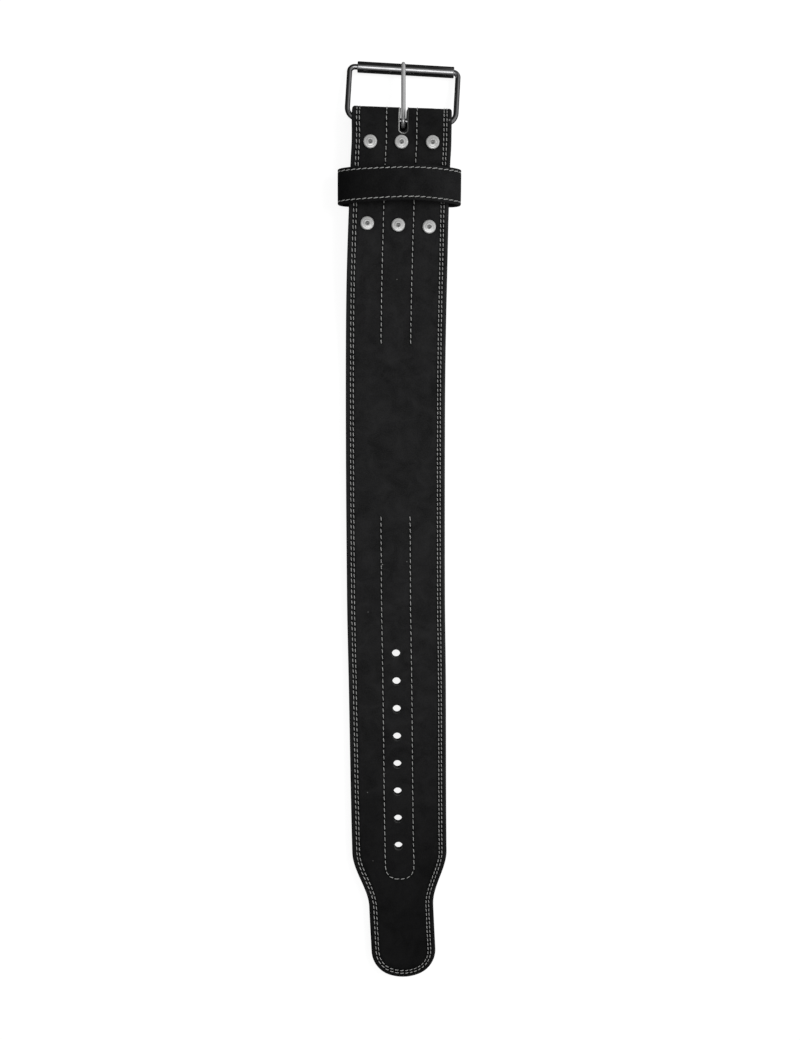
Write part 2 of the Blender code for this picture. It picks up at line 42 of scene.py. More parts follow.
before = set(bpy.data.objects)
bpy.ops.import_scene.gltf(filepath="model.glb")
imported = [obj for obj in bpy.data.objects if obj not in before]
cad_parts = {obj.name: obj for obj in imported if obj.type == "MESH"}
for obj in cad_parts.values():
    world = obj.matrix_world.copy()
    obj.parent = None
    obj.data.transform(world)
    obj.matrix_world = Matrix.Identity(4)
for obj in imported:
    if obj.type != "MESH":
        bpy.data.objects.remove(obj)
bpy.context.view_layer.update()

# Strap, as the solids have it
BELT_LENGTH = 0.8763        # axis of the buckle's inner bar to the tip of the tongue
STRAP_WIDTH = 0.1000
STRAP_WALL = 0.0100
FOLD_WALL = 0.0089
FOLD_BACK_LENGTH = 0.1230
FOLD_BACK_CORNER = 0.0094
FOLD_YAW = math.radians(1.9)
FLOOR_REACH = 0.2720
SHOULDER_START = 0.7410
SHOULDER_LENGTH = 0.0580
TONGUE_WIDTH = 0.0671
TIP_ARC = 0.0440
TIP_CORNER = 0.0280
HOLE_COUNT = 8
HOLE_DIAMETER = 0.0085
HOLE_PITCH = 0.02896
FIRST_HOLE = 0.53170
HOLE_SIDE = -0.0008

# Buckle
FRAME_WIRE = 0.0052
FRAME_WIDTH = 0.1070
BAR_SPACING = 0.0520
INNER_CORNER = 0.0110
OUTER_CORNER = 0.0050
FRAME_YAW = math.radians(3.3)
FRAME_SIDE = -0.0006
CHANNEL_SLACK = 0.0014
ROLLER_WALL = 0.0024
ROLLER_LENGTH = 0.0952
ROLLER_SIDE = 0.0017
PRONG_WIRE = 0.0043
PRONG_SIDE = 0.0023
PRONG_SKEW = math.radians(3.3)
PRONG_OVERHANG = math.radians(22)
EYE_WRAP = math.radians(258)
SLOT_WIDTH = 0.0086
SLOT_LENGTH = 0.0120
SLOT_POINT = 0.0034
SLOT_TIP = 0.0028
PRONG_ROOM = 0.00022        # beside the prong and its eye, in the layer underneath
SWING_ROOM = 1.3 * PRONG_ROOM   # a little more, so that the two cuts share no plane
NOSE_NOTCH = 0.0100         # from the bar's axis to where the nose opens on the right
NOTCH_SIDE = 0.93 * SLOT_WIDTH / 2  # how far it opens there
SWING_START = math.radians(8)

# Keeper
KEEPER_WIDTH = 0.0345
KEEPER_WALL = 0.0036
KEEPER_SPAN = 0.1214
KEEPER_STATION = 0.0654
KEEPER_YAW = math.radians(0.3)
KEEPER_TURN = 0.0099
KEEPER_WAIST = 0.0107
KEEPER_DOME = (0.77, 1.25)
KEEPER_CREEP = (0.0013, 0.0023)     # towards the buckle, at the upper and the lower edge
KEEPER_CREEP_SIDE = 0.0120          # where across the belt it has crept most
KEEPER_CREEP_REACH = 0.0360
TONGUE_ROOM = 0.0015

# Rivets
FIRST_ROW = 0.0225
SECOND_ROW = 0.1020
RIVET_SPACING = 0.0305
RIVET_HEAD = 0.0132
RIVET_HEAD_HEIGHT = 0.0020
RIVET_SHANK = 0.0060
RIVET_CAP = 0.0110
RIVET_CAP_WALL = 0.0012
RIVET_LAND = 0.0080
PINCH_GAP = 0.0029

GAP = 0.0003
FLOOR_GAP = 0.0001
SLOPE_STEP = 0.0005
TINY = 0.000001

# Rows of rivets: distance from the bar axis, and turn from square across the strap
RIVET_ROWS = (
    (FIRST_ROW, math.radians(-1.2)),
    (SECOND_ROW, math.radians(1.5)),
)

# Centreline: share of the belt's length from the bar, sideways as a share of the strap's width
BOW = (
    (0.000, 0.0215),
    (0.026, 0.0195),
    (0.045, 0.0104),
    (0.075, -0.0010),
    (0.200, -0.0310),
    (0.320, -0.0410),
    (0.540, -0.0360),
    (0.640, -0.0230),
    (0.830, -0.0040),
    (0.910, 0.0170),
    (1.000, 0.0560),
)

# Width up to the shoulder: share of the belt's length, share of the strap's width
WIDTHS = (
    (0.000, 0.977),
    (0.060, 0.979),
    (0.200, 0.999),
    (0.550, 1.003),
    (0.650, 1.000),
    (1.000, 0.970),
)

# Turned profile of a rivet's head, from its rim in: share of its radius, share of its height
HEAD_PROFILE = (
    (0.96, 0.00),
    (1.00, 0.22),
    (0.99, 0.42),
    (0.94, 0.62),
    (0.86, 0.76),
    (0.76, 0.82),
    (0.64, 0.80),
    (0.54, 0.84),
    (0.46, 0.96),
    (0.40, 1.00),
    (0.345, 0.94),
    (0.31, 0.70),
    (0.285, 0.20),
    (0.26, -0.30),
    (0.20, -0.52),
    (0.10, -0.60),
)

# Thread rows that run down the middle: where each pair starts and ends, from the bar axis
MIDDLE_ROWS = (
    (-0.028, 0.2169),
    (0.3895, 0.7577),
)
MIDDLE_END_ARC = 0.0120     # reach of the bend that joins the middle rows past the last hole
MIDDLE_END_FADE = 0.0040    # its crease ends this far past the bend
MIDDLE_END_POWERS = (0.75, 1.33)    # square the bend off, and undo it for the crease

# Stitches: spread of their lean, of their share of the pitch, and sideways
LEAN_SPREAD = 0.05
LENGTH_SPREAD = (-0.05, 0.04)
SIDE_SPREAD = 0.00008
BACK_SINK = 0.00045         # how much deeper the thread lies on the back

# Marks on the leather: how far in from an edge, or out from a row of thread, each mark reaches; the
# rub is wear, the crease mark beside the thread is painted shade
RUB_REACH = 0.0035
ROW_SHADE_REACH = 0.0013
GROOVE_REACH = 0.00075
CREASE_STEP = 0.00055       # between the mesh lines beside a row of thread
DENT_START = 0.0020         # the edge is firm up to here, and dented fully after the fade
DENT_FADE = 0.0080

# Dents: depth, and reach from the metal or from the hole
RIVET_DENT = (0.00028, 0.0022)
HOLE_DENT = (0.00035, 0.0028)

# Unevenness of the face: waves per metre across and along, place in the noise, depth
FACE_WAVES = (
    (38, 22, 4.0, 0.00012),
    (130, 110, 9.0, 0.00005),
)

KEEPER_WAVES = (60, 0.00016)    # waves per metre, depth

# Raw rim of the slot
RIM_BEAD = 0.00045          # radius of the bead
RIM_SINK = 0.00010          # depth of its middle under the face
RIM_SHADE = 0.88             # painted shade on its right, away from the light
SLOT_CORNER = 0.0006        # rounding of the slot's corners

LINT_COLOUR = (0.30, 0.30, 0.29, 1.0)

# Painted shade on a rivet's head, in its hollow middle and its ring: strength, middle and spread,
# as shares of its radius
HEAD_SHADE = (
    (0.85, 0.00, 0.27),
    (0.30, 0.66, 0.07),
)

# Fineness of the meshes
STRAP_COLUMNS = 72
KEEPER_RINGS = 168
PATH_STEP = 0.002
CUT_BEYOND = 0.005          # how far the cutters reach past the leather
MITRE = math.radians(45)    # middle of a corner's arc

# Stage: floor, lights (place and size) and camera
FLOOR_DROP = 0.0004
FLOOR_HALF = 6.0
FLOOR_BOUNCE = 0.01         # light that the floor gives the belt by itself
OVERHEAD_PLACE, OVERHEAD_SIZE = (0.0, 0.06, 1.5), 0.75
KEY_PLACE, KEY_SIZE = (1.25, 0.55, 1.35), 0.7
CAMERA_DISTANCE = 1.150     # from what it looks at
CAMERA_TILT = math.radians(4.75)
CAMERA_AIM = Vector((0.0006, 0.0145, 0.0100))
CAMERA_LENS = 39.22
SENSOR = 36.0

# Worked out from the sizes above
BAR_RADIUS = FRAME_WIRE / 2
CHANNEL_RADIUS = BAR_RADIUS + CHANNEL_SLACK
BAR_HEIGHT = FOLD_WALL + CHANNEL_RADIUS
BEND_LENGTH = math.pi * (CHANNEL_RADIUS + FOLD_WALL / 2)
LAYER_GAP = KEEPER_WALL + 2 * GAP
KEEPER_DOME_TOP = LAYER_GAP + 2 * STRAP_WALL + TONGUE_ROOM + KEEPER_WALL / 2
KEEPER_END = KEEPER_STATION + KEEPER_WIDTH / 2
ROLLER_RADIUS = BAR_RADIUS + GAP + ROLLER_WALL
EYE_RADIUS = BAR_RADIUS + GAP + PRONG_WIRE / 2
BACK_END = -BEND_LENGTH - FOLD_BACK_LENGTH
FRAME_DROP = math.asin((BAR_HEIGHT - ROLLER_RADIUS - FLOOR_GAP) / BAR_SPACING)
BUCKLE_REACH = (
    BAR_SPACING * math.cos(FRAME_DROP) * math.cos(FRAME_YAW)
    + (ROLLER_LENGTH / 2 - ROLLER_SIDE) * math.sin(FRAME_YAW)
    + ROLLER_RADIUS
)
BAR_Y = (BELT_LENGTH - BUCKLE_REACH) / 2


def ease(share):
    """Smooth step from 0 to 1."""
    share = min(max(share, 0.0), 1.0)
    return share * share * (3 - 2 * share)


def bump_at(distance, reach):
    """Soft bell of height 1 at distance 0, gone by about twice its reach."""
    return math.exp(-(distance / reach) ** 2)


def table_value(rows, share):
    """Smooth curve through a table's rows."""
    share = min(max(share, rows[0][0]), rows[-1][0])
    index = 0
    while index < len(rows) - 2 and share > rows[index + 1][0]:
        index += 1

    def slope(i):
        before, after = rows[max(i - 1, 0)], rows[min(i + 1, len(rows) - 1)]
        return (after[1] - before[1]) / (after[0] - before[0])

    (low, start), (high, end) = rows[index], rows[index + 1]
    span = high - low
    t = (share - low) / span
    return (
        start * (2 * t ** 3 - 3 * t ** 2 + 1)
        + slope(index) * span * (t ** 3 - 2 * t ** 2 + t)
        + end * (3 * t ** 2 - 2 * t ** 3)
        + slope(index + 1) * span * (t ** 3 - t ** 2)
    )


def bow_side(station):
    """How far the belt's middle line lies to the side, from its slight bow."""
    return STRAP_WIDTH * table_value(BOW, station / BELT_LENGTH)


KEEPER_SIDE = bow_side(KEEPER_STATION)


def inner_height(station):
    """Height of the face layer's inner side."""
    held_apart = FOLD_WALL + LAYER_GAP
    pinched = FOLD_WALL + PINCH_GAP
    knots = (
        (0.0, BAR_HEIGHT + CHANNEL_RADIUS),
        (FIRST_ROW - RIVET_LAND, held_apart),
        (KEEPER_END + GAP, held_apart),
        (SECOND_ROW - RIVET_LAND, pinched),
        (SECOND_ROW + RIVET_LAND, pinched),
        (FLOOR_REACH, 0.0),
    )
    for (low, start), (high, end) in zip(knots, knots[1:]):
        if station <= high:
            return start + (end - start) * ease((station - low) / (high - low))
    return 0.0


@lru_cache(maxsize=None)
def strap_frame(station):
    """Centre, direction across, inner height, upward normal and wall of the face layer."""
    low, high = max(station - SLOPE_STEP, 0.0), station + SLOPE_STEP
    centre = Vector((bow_side(station) - KEEPER_SIDE, BAR_Y - station, 0.0))
    bend = math.atan((bow_side(low) - bow_side(high)) / (high - low))
    yaw = FOLD_YAW + (bend - FOLD_YAW) * ease(station / KEEPER_STATION)
    across = Vector((math.cos(yaw), -math.sin(yaw), 0.0))
    slope = (inner_height(high) - inner_height(low)) / (high - low)
    normal = Vector((0.0, slope, 1.0)).normalized()
    wall = FOLD_WALL + (STRAP_WALL - FOLD_WALL) * ease(station / (FIRST_ROW - RIVET_LAND))
    return centre, across, inner_height(station), normal, wall


def strap_point(along, side, depth):
    """Place of a point of the flat blank once it is folded.

    along runs from the bar's axis towards the tip, and below zero round the fold and back.
    depth runs through the leather, from -0.5 on the inner side to 0.5 on the outer side.
    """
    along = round(along, 6)
    if along >= 0:
        centre, across, height, normal, wall = strap_frame(along)
        return centre + across * side + Vector((0, 0, height)) + normal * wall * (depth + 0.5)
    if along >= -BEND_LENGTH:
        centre, across, _, _, _ = strap_frame(0.0)
        angle = math.pi / 2 + math.pi * along / BEND_LENGTH
        radius = CHANNEL_RADIUS + FOLD_WALL * (depth + 0.5)
        outward = Vector((math.sin(FOLD_YAW), math.cos(FOLD_YAW), 0.0))
        point = centre + across * side + outward * radius * math.cos(angle)
        return point + Vector((0, 0, BAR_HEIGHT + radius * math.sin(angle)))
    centre, across, _, _, _ = strap_frame(round(-(along + BEND_LENGTH), 6))
    return centre + across * side + Vector((0, 0, FOLD_WALL * (0.5 - depth)))


def wall_at(along):
    """Thickness of the leather along the blank."""
    return strap_frame(round(along, 6))[4] if along >= 0 else FOLD_WALL


def on_leather(along, side, height, outer=True):
    """Point a height above the outer or the inner side of the strap."""
    depth = 0.5 + height / wall_at(along)
    return strap_point(along, side, depth if outer else -depth)


def half_width(station):
    """Half the strap's width at a distance from the bar, without the rounding of its tip."""
    share = SHOULDER_START / BELT_LENGTH
    strap = STRAP_WIDTH * table_value(WIDTHS, min(station / BELT_LENGTH, share)) / 2
    narrowing = ease((station - SHOULDER_START) / SHOULDER_LENGTH)
    return strap + (TONGUE_WIDTH / 2 - strap) * narrowing


def rivet_places():
    """Blank coordinates of the rivets, row by row."""
    places = []
    for station, turn in RIVET_ROWS:
        for column in (-1, 0, 1):
            side = column * RIVET_SPACING
            places.append((station + side * math.tan(turn), side * math.cos(turn)))
    return places


def tip_outline(length_from_side):
    """Point of the tongue's right end at a distance round it from where its side ends."""
    half = TONGUE_WIDTH / 2
    end_centre = BELT_LENGTH - TIP_ARC
    corner_side = half - TIP_CORNER
    corner_centre = end_centre + math.sqrt((TIP_ARC - TIP_CORNER) ** 2 - corner_side ** 2)
    meet = math.atan2(corner_side, corner_centre - end_centre)
    corner_length = TIP_CORNER * (math.pi / 2 - meet)
    if length_from_side <= corner_length:
        angle = math.pi / 2 - length_from_side / TIP_CORNER
        return (corner_centre + TIP_CORNER * math.cos(angle),
                corner_side + TIP_CORNER * math.sin(angle))
    angle = max(meet - (length_from_side - corner_length) / TIP_ARC, 0.0)
    return end_centre + TIP_ARC * math.cos(angle), TIP_ARC * math.sin(angle)


def tip_lengths():
    """Station where the tongue's end begins, and the distance from there round to its middle."""
    corner_side = TONGUE_WIDTH / 2 - TIP_CORNER
    reach = math.sqrt((TIP_ARC - TIP_CORNER) ** 2 - corner_side ** 2)
    meet = math.atan2(corner_side, reach)
    start = BELT_LENGTH - TIP_ARC + reach
    return start, TIP_CORNER * (math.pi / 2 - meet) + TIP_ARC * meet


def side_stations():
    """Where the blank's side has points, from the fold-back's corner to the tongue's end."""
    tip_start = tip_lengths()[0]
    # Each row: where a stretch starts, and the step along it
    stretches = (
        (BACK_END + FOLD_BACK_CORNER, 0.0050),
        (-BEND_LENGTH - 0.0040, 0.0014),
        (0.0040, 0.0022),
        (KEEPER_STATION, 0.0030),
        (FLOOR_REACH, 0.0048),
        (FIRST_HOLE - HOLE_PITCH, 0.0028),
        (SHOULDER_START - 0.0150, 0.0019),
        (tip_start, 1.0),
    )
    stations = []
    for (low, step), (high, _) in zip(stretches, stretches[1:]):
        count = max(round((high - low) / step), 1)
        stations += [low + (high - low) * i / count for i in range(count)]
    return stations


def row_path(inset):
    """Line round the strap at an inset from its edge: along and side, right side first."""
    start, length = tip_lengths()
    side_steps, tip_steps = 520, 60
    low = -0.72 * BEND_LENGTH       # the rows go out of sight round the fold's nose
    right = []
    for i in range(side_steps):
        station = low + (start - low) * i / side_steps
        right.append((station, half_width(max(station, 0.0))))
    right += [tip_outline(length * i / tip_steps) for i in range(tip_steps + 1)]
    line = right + [(a, -w) for a, w in reversed(right[:-1])]
    moved = []
    for i, (along, side) in enumerate(line):
        before, after = line[max(i - 1, 0)], line[min(i + 1, len(line) - 1)]
        direction = Vector((after[0] - before[0], after[1] - before[1])).normalized()
        moved.append((along + direction.y * inset, side - direction.x * inset))
    return moved


def middle_row_path(side, start, end):
    """Straight row from one station to another, at a side of the strap's middle."""
    count = max(round(abs(end - start) / PATH_STEP), 2)
    return [(start + (end - start) * i / count, side) for i in range(count + 1)]


def groove(distance, depth):
    """Depth of the crease that a row of thread pulls into the leather."""
    return depth * bump_at(distance, GROOVE_REACH)


class LeatherSettings(bpy.types.PropertyGroup):
    edge_round: bpy.props.FloatProperty(
        name="Edge rounding", description="Radius of the strap's worn edges",
        default=0.0028, unit='LENGTH')
    groove_depth: bpy.props.FloatProperty(
        name="Thread crease", description="How far a row of thread pulls the leather in",
        default=0.0004, unit='LENGTH')
    rim_wear: bpy.props.FloatProperty(
        name="Hole rim wear", description="Radius worn on the rims of the adjusting holes",
        default=0.0007, unit='LENGTH')
    colour: bpy.props.FloatVectorProperty(
        name="Suede", description="Colour of the black nap", subtype='COLOR',
        default=(0.0085, 0.0085, 0.0087))
    worn_colour: bpy.props.FloatVectorProperty(
        name="Worn suede", description="Colour of the nap where it is rubbed", subtype='COLOR',
        default=(0.045, 0.045, 0.046))
    keeper_colour: bpy.props.FloatVectorProperty(
        name="Keeper suede", description="Colour of the keeper's deeper black nap",
        subtype='COLOR', default=(0.0065, 0.0065, 0.0067))
    cut_colour: bpy.props.FloatVectorProperty(
        name="Cut leather", description="Colour of the raw leather inside holes and slot",
        subtype='COLOR', default=(0.09, 0.09, 0.09))
    # pale raw leather, brightened into a painted highlight where the light catches the slot's rim
    rim_colour_and_highlight: bpy.props.FloatVectorProperty(
        name="Slot rim", description="Colour of the raw rim of the slot", subtype='COLOR',
        default=(0.95, 0.95, 0.93))


class ThreadSettings(bpy.types.PropertyGroup):
    diameter: bpy.props.FloatProperty(
        name="Thread", description="Diameter of the thread", default=0.00080, unit='LENGTH')
    outer_row: bpy.props.FloatProperty(
        name="Outer row", description="Outer edge row from the strap's edge",
        default=0.0049, unit='LENGTH')
    inner_row: bpy.props.FloatProperty(
        name="Inner row", description="Inner edge row from the strap's edge",
        default=0.0077, unit='LENGTH')
    middle_row: bpy.props.FloatProperty(
        name="Middle rows", description="Middle rows from the strap's centreline",
        default=0.0148, unit='LENGTH')
    keeper_row: bpy.props.FloatProperty(
        name="Keeper rows", description="Keeper's rows from its edges",
        default=0.0030, unit='LENGTH')
    pitch: bpy.props.FloatProperty(
        name="Stitch", description="Length of a stitch", default=0.0057, unit='LENGTH')
    lower_pitch: bpy.props.FloatProperty(
        name="Lower stitch", description="Length of a stitch of the lower middle rows",
        default=0.0062, unit='LENGTH')
    right_pitch: bpy.props.FloatProperty(
        name="Right edge stitch", description="Length of a stitch along the right edge",
        default=0.0046, unit='LENGTH')
    left_pitch: bpy.props.FloatProperty(
        name="Left edge stitch", description="Length of a stitch along the left edge",
        default=0.0055, unit='LENGTH')
    colour: bpy.props.FloatVectorProperty(
        name="Thread colour", description="Colour of the thread", subtype='COLOR',
        default=(0.52, 0.52, 0.51))


class MetalSettings(bpy.types.PropertyGroup):
    chrome_colour: bpy.props.FloatVectorProperty(
        name="Chrome", description="Colour of the buckle's plating", subtype='COLOR',
        default=(0.66, 0.66, 0.67))
    prong_colour: bpy.props.FloatVectorProperty(
        name="Prong", description="Colour of the prong's plating", subtype='COLOR',
        default=(1.0, 1.0, 1.0))
    nickel_colour: bpy.props.FloatVectorProperty(
        name="Nickel", description="Colour of the rivets' plating", subtype='COLOR',
        default=(0.98, 0.98, 0.97))


class StageSettings(bpy.types.PropertyGroup):
    floor_colour: bpy.props.FloatVectorProperty(
        name="Floor", description="Colour of the floor", subtype='COLOR',
        default=(0.26, 0.26, 0.26))
    floor_glow: bpy.props.FloatProperty(
        name="Floor glow", description="Light that the pale floor shows the camera", default=0.86)
    key_power: bpy.props.FloatProperty(
        name="Key light", description="Power of the key light in watts", default=13.0)
    overhead_power: bpy.props.FloatProperty(
        name="Overhead light", description="Power of the overhead softbox in watts", default=2.2)


def middle_line():
    """Path of the lower middle row: down the right side, round the end and up the left."""
    side = bpy.context.scene.belt_thread.middle_row
    start, end = MIDDLE_ROWS[1]
    right = middle_row_path(side, start, end)
    steps = 24
    bend = []
    for i in range(1, steps):
        angle = math.pi * i / steps
        across = math.copysign(abs(math.cos(angle)) ** MIDDLE_END_POWERS[0], math.cos(angle))
        bend.append((end + MIDDLE_END_ARC * math.sin(angle), side * across))
    return right + bend + [(a, -s) for a, s in reversed(right)]


def middle_distance(along, side):
    """Distance from a point of the blank to the nearest middle row."""
    row = bpy.context.scene.belt_thread.middle_row
    (first, first_end), (second, second_end) = MIDDLE_ROWS
    if first <= along <= first_end or second <= along <= second_end:
        return abs(abs(side) - row)
    if second_end < along < second_end + MIDDLE_END_ARC + MIDDLE_END_FADE:
        sine = (along - second_end) / MIDDLE_END_ARC
        reach = math.hypot(min(abs(side) / row, 1.5) ** MIDDLE_END_POWERS[1], sine)
        return abs(reach - 1) * MIDDLE_END_ARC
    return 1.0                      # no row near


def face_relief(along, side):
    """How far the face is pressed in: round rivets and holes, and in soft handling dents."""
    low = 0.0
    if 0 < along < SECOND_ROW + RIVET_SPACING:
        depth, reach = RIVET_DENT
        for place, across in rivet_places():
            distance = math.hypot(along - place, side - across)
            low += depth * bump_at(max(distance - RIVET_HEAD / 2, 0), reach)
    if FIRST_HOLE - HOLE_PITCH < along < FIRST_HOLE + HOLE_COUNT * HOLE_PITCH:
        index = round((along - FIRST_HOLE) / HOLE_PITCH)
        index = min(max(index, 0), HOLE_COUNT - 1)
        distance = math.hypot(along - FIRST_HOLE - index * HOLE_PITCH, side - HOLE_SIDE)
        depth, reach = HOLE_DENT
        low += depth * bump_at(max(distance - HOLE_DIAMETER / 2, 0), reach)
    for across, down, place, depth in FACE_WAVES:
        low += depth * (noise.noise(Vector((side * across, along * down, place))) + 1)
    return low


def new_mesh_object(name, work):
    """Finishes a bmesh as a named object at the origin."""
    bmesh.ops.recalc_face_normals(work, faces=work.faces)
    mesh = bpy.data.meshes.new(name)
    work.to_mesh(mesh)
    work.free()
    mesh.shade_smooth()
    item = bpy.data.objects.new(name, mesh)
    bpy.context.scene.collection.objects.link(item)
    return item


def back_corner(angle, half):
    """Point of the fold-back's rounded corner, at an angle from where its side ends."""
    return (BACK_END + FOLD_BACK_CORNER * (1 - math.sin(angle)),
            half - FOLD_BACK_CORNER * (1 - math.cos(angle)))


def blank_loop():
    """Outline of the flat blank as a loop, and the counts of points of its first three chains.

    The chains are the right side, the tongue's end, the left side and the fold-back's end.
    """
    tip_length = tip_lengths()[1]
    side_share = TIP_CORNER * MITRE / tip_length
    half = half_width(0)
    corner_steps, turn_steps, end_steps = 4, 10, STRAP_COLUMNS // 2
    right = []
    for i in range(corner_steps):
        right.append(back_corner(MITRE * (1 - i / corner_steps), half))
    for station in side_stations():
        right.append((station, half_width(max(station, 0.0, -station - BEND_LENGTH))))
    for i in range(turn_steps):
        right.append(tip_outline(tip_length * side_share * i / turn_steps))
    tip = []
    for i in range(end_steps + 1):
        share = side_share + (1 - side_share) * i / end_steps
        tip.append(tip_outline(tip_length * share))
    end = []
    corner_arc = FOLD_BACK_CORNER * MITRE
    end_length = corner_arc + half - FOLD_BACK_CORNER
    for i in range(1, end_steps + 1):
        run = end_length * i / end_steps
        if run < corner_arc:
            end.append(back_corner(MITRE + run / FOLD_BACK_CORNER, half))
        else:
            end.append((BACK_END, half - FOLD_BACK_CORNER - (run - corner_arc)))
    tip_loop = tip + [(a, -w) for a, w in reversed(tip[:-1])]
    left = [(a, -w) for a, w in reversed(right)]
    end_loop = [(a, -w) for a, w in end] + [(a, w) for a, w in reversed(end[:-1])]
    loop = right + tip_loop + left + end_loop
    return loop, len(right), len(tip_loop), len(left)


def strap_insets():
    """Rings from the blank's edge inwards: width of each ring, and its rise."""
    settings, thread = bpy.context.scene.belt_leather, bpy.context.scene.belt_thread
    radius = settings.edge_round
    steps = 5
    rings = []
    for i in range(steps):
        low, high = (math.pi / 2 * (i + k) / steps for k in (0, 1))
        rings.append((radius * (math.cos(low) - math.cos(high)),
                      radius * (math.sin(high) - math.sin(low))))
    outer, inner = thread.outer_row, thread.inner_row
    reached = radius
    for line in (outer - 2 * CREASE_STEP, outer - CREASE_STEP, outer, outer + CREASE_STEP,
                 (outer + inner) / 2, inner - CREASE_STEP, inner, inner + CREASE_STEP):
        rings.append((line - reached, 0.0))
        reached = line
    return rings


def flat_blank():
    """Upper half of the flat blank: rounded edge, rings along the thread and an even grid."""
    work = bmesh.new()
    loop, right, tip, left = blank_loop()
    mark = work.verts.layers.int.new("place")
    level = STRAP_WALL / 2 - bpy.context.scene.belt_leather.edge_round
    rim = []
    for i, (along, side) in enumerate(loop):
        vert = work.verts.new((side, along, level))
        vert[mark] = i
        rim.append(vert)
    base = work.faces.new(rim)
    base.normal_update()
    if base.normal.z < 0:
        base.normal_flip()
    for width, rise in strap_insets():
        bmesh.ops.inset_region(work, faces=[base], thickness=width, depth=rise,
                               use_even_offset=True, use_boundary=True)
    left_first, left_last = right + tip - 1, right + tip + left
    rails = []                      # the two long sides, which the even grid is hung between
    for edge in base.edges:
        low, high = sorted(vert[mark] for vert in edge.verts)
        if high - low == 1 and (high <= right or left_first <= low < left_last):
            rails.append(edge)
    bmesh.ops.delete(work, geom=[base], context='FACES_ONLY')
    bmesh.ops.grid_fill(work, edges=rails, use_interp_simple=True)
    outer = [edge for edge in work.edges if edge.is_boundary]
    walls = bmesh.ops.extrude_edge_only(work, edges=outer)
    for item in walls["geom"]:
        if isinstance(item, bmesh.types.BMVert):
            item.co.z = 0.0
    return work


def build_strap():
    """The whole strap, folded, with its creases, dents, holes and slot."""
    leather, thread = bpy.context.scene.belt_leather, bpy.context.scene.belt_thread
    work = flat_blank()
    bmesh.ops.mirror(work, geom=work.verts[:] + work.edges[:] + work.faces[:],
                     matrix=Matrix.Identity(4), merge_dist=TINY, axis='Z')
    wear = work.verts.layers.float.new("wear")
    # the crease layer is a mask of painted shade beside the rows of thread
    crease = work.verts.layers.float.new("crease")
    flat = STRAP_WALL / 2 - TINY * 10
    for vert in work.verts:
        side, along, height = vert.co
        edge = edge_distance(along, side)
        vert[wear] = 1 - ease(edge / RUB_REACH)
        rows = [edge - thread.outer_row, edge - thread.inner_row]
        if height > 0:
            rows.append(middle_distance(along, side))
        vert[crease] = max(bump_at(row, ROW_SHADE_REACH) for row in rows)
        pressed = 0.0
        if abs(height) > flat:
            pressed = sum(groove(row, leather.groove_depth) for row in rows)
            if height > 0:
                pressed += face_relief(along, side) * ease((edge - DENT_START) / DENT_FADE)
        share = height / STRAP_WALL
        share -= math.copysign(pressed / wall_at(along), share)
        vert.co = strap_point(along, side, share)
    return work


def edge_distance(along, side):
    """Distance from a point of the blank to its outline, close enough for wear and creases."""
    tip_start = tip_lengths()[0]
    if along > tip_start:
        corner_side = TONGUE_WIDTH / 2 - TIP_CORNER
        end_centre = BELT_LENGTH - TIP_ARC
        across = abs(side)
        angle = math.atan2(across, along - end_centre)
        meet = math.atan2(corner_side, tip_start - end_centre)
        if angle < meet:
            return TIP_ARC - math.hypot(across, along - end_centre)
        return TIP_CORNER - math.hypot(across - corner_side, along - tip_start)
    width = half_width(max(along, 0.0))
    low, high = (half_width(max(along + step, 0.0)) for step in (-SLOPE_STEP, SLOPE_STEP))
    slope = (high - low) / (2 * SLOPE_STEP)
    across = (width - abs(side)) / math.hypot(1.0, slope)
    back = along - BACK_END
    if back < FOLD_BACK_CORNER and width - abs(side) < FOLD_BACK_CORNER:
        return FOLD_BACK_CORNER - math.hypot(FOLD_BACK_CORNER - back,
                                             FOLD_BACK_CORNER - (width - abs(side)))
    return min(across, back)


def spun(profile, steps=32, matrix=None):
    """Solid turned from a profile of radius and height, closed on its axis or ring-shaped."""
    work = bmesh.new()
    verts = [work.verts.new((radius, 0, height)) for radius, height in profile]
    edges = [work.edges.new(pair) for pair in zip(verts, verts[1:])]
    if profile[0][0] > TINY:
        edges.append(work.edges.new((verts[-1], verts[0])))
    bmesh.ops.spin(work, geom=verts + edges, cent=(0, 0, 0), axis=(0, 0, 1), angle=2 * math.pi,
                   steps=steps, use_merge=True, use_duplicate=False)
    bmesh.ops.remove_doubles(work, verts=work.verts, dist=TINY)
    bmesh.ops.recalc_face_normals(work, faces=work.faces)
    if matrix:
        bmesh.ops.transform(work, matrix=matrix, verts=work.verts)
    return work


def add_to(work, other):
    """Adds one bmesh to another."""
    mesh = bpy.data.meshes.new("part")
    other.to_mesh(mesh)
    other.free()
    work.from_mesh(mesh)
    bpy.data.meshes.remove(mesh)


def hole_cutter(place):
    """Round cutter whose ends flare, so that the hole's rims come out worn."""
    radius = HOLE_DIAMETER / 2
    wear = bpy.context.scene.belt_leather.rim_wear
    steps, turn, beyond = 5, math.radians(62), 0.003
    flare = []
    for i in range(steps + 1):
        angle = turn * i / steps
        flare.append((radius + wear * (1 - math.cos(angle)), wear * (math.sin(angle) - 1)))
    out = flare[-1][0] + beyond * math.sin(turn), flare[-1][1] + beyond * math.cos(turn)
    upper = flare + [out]
    top, bottom = STRAP_WALL - HOLE_DENT[0], 2 * FLOOR_GAP
    profile = [(0, top + out[1])] + [(r, top + h) for r, h in reversed(upper)]
    profile += [(r, bottom - h) for r, h in upper] + [(0, bottom - out[1])]
    return spun(profile, 40, Matrix.Translation((place.x, place.y, 0)))


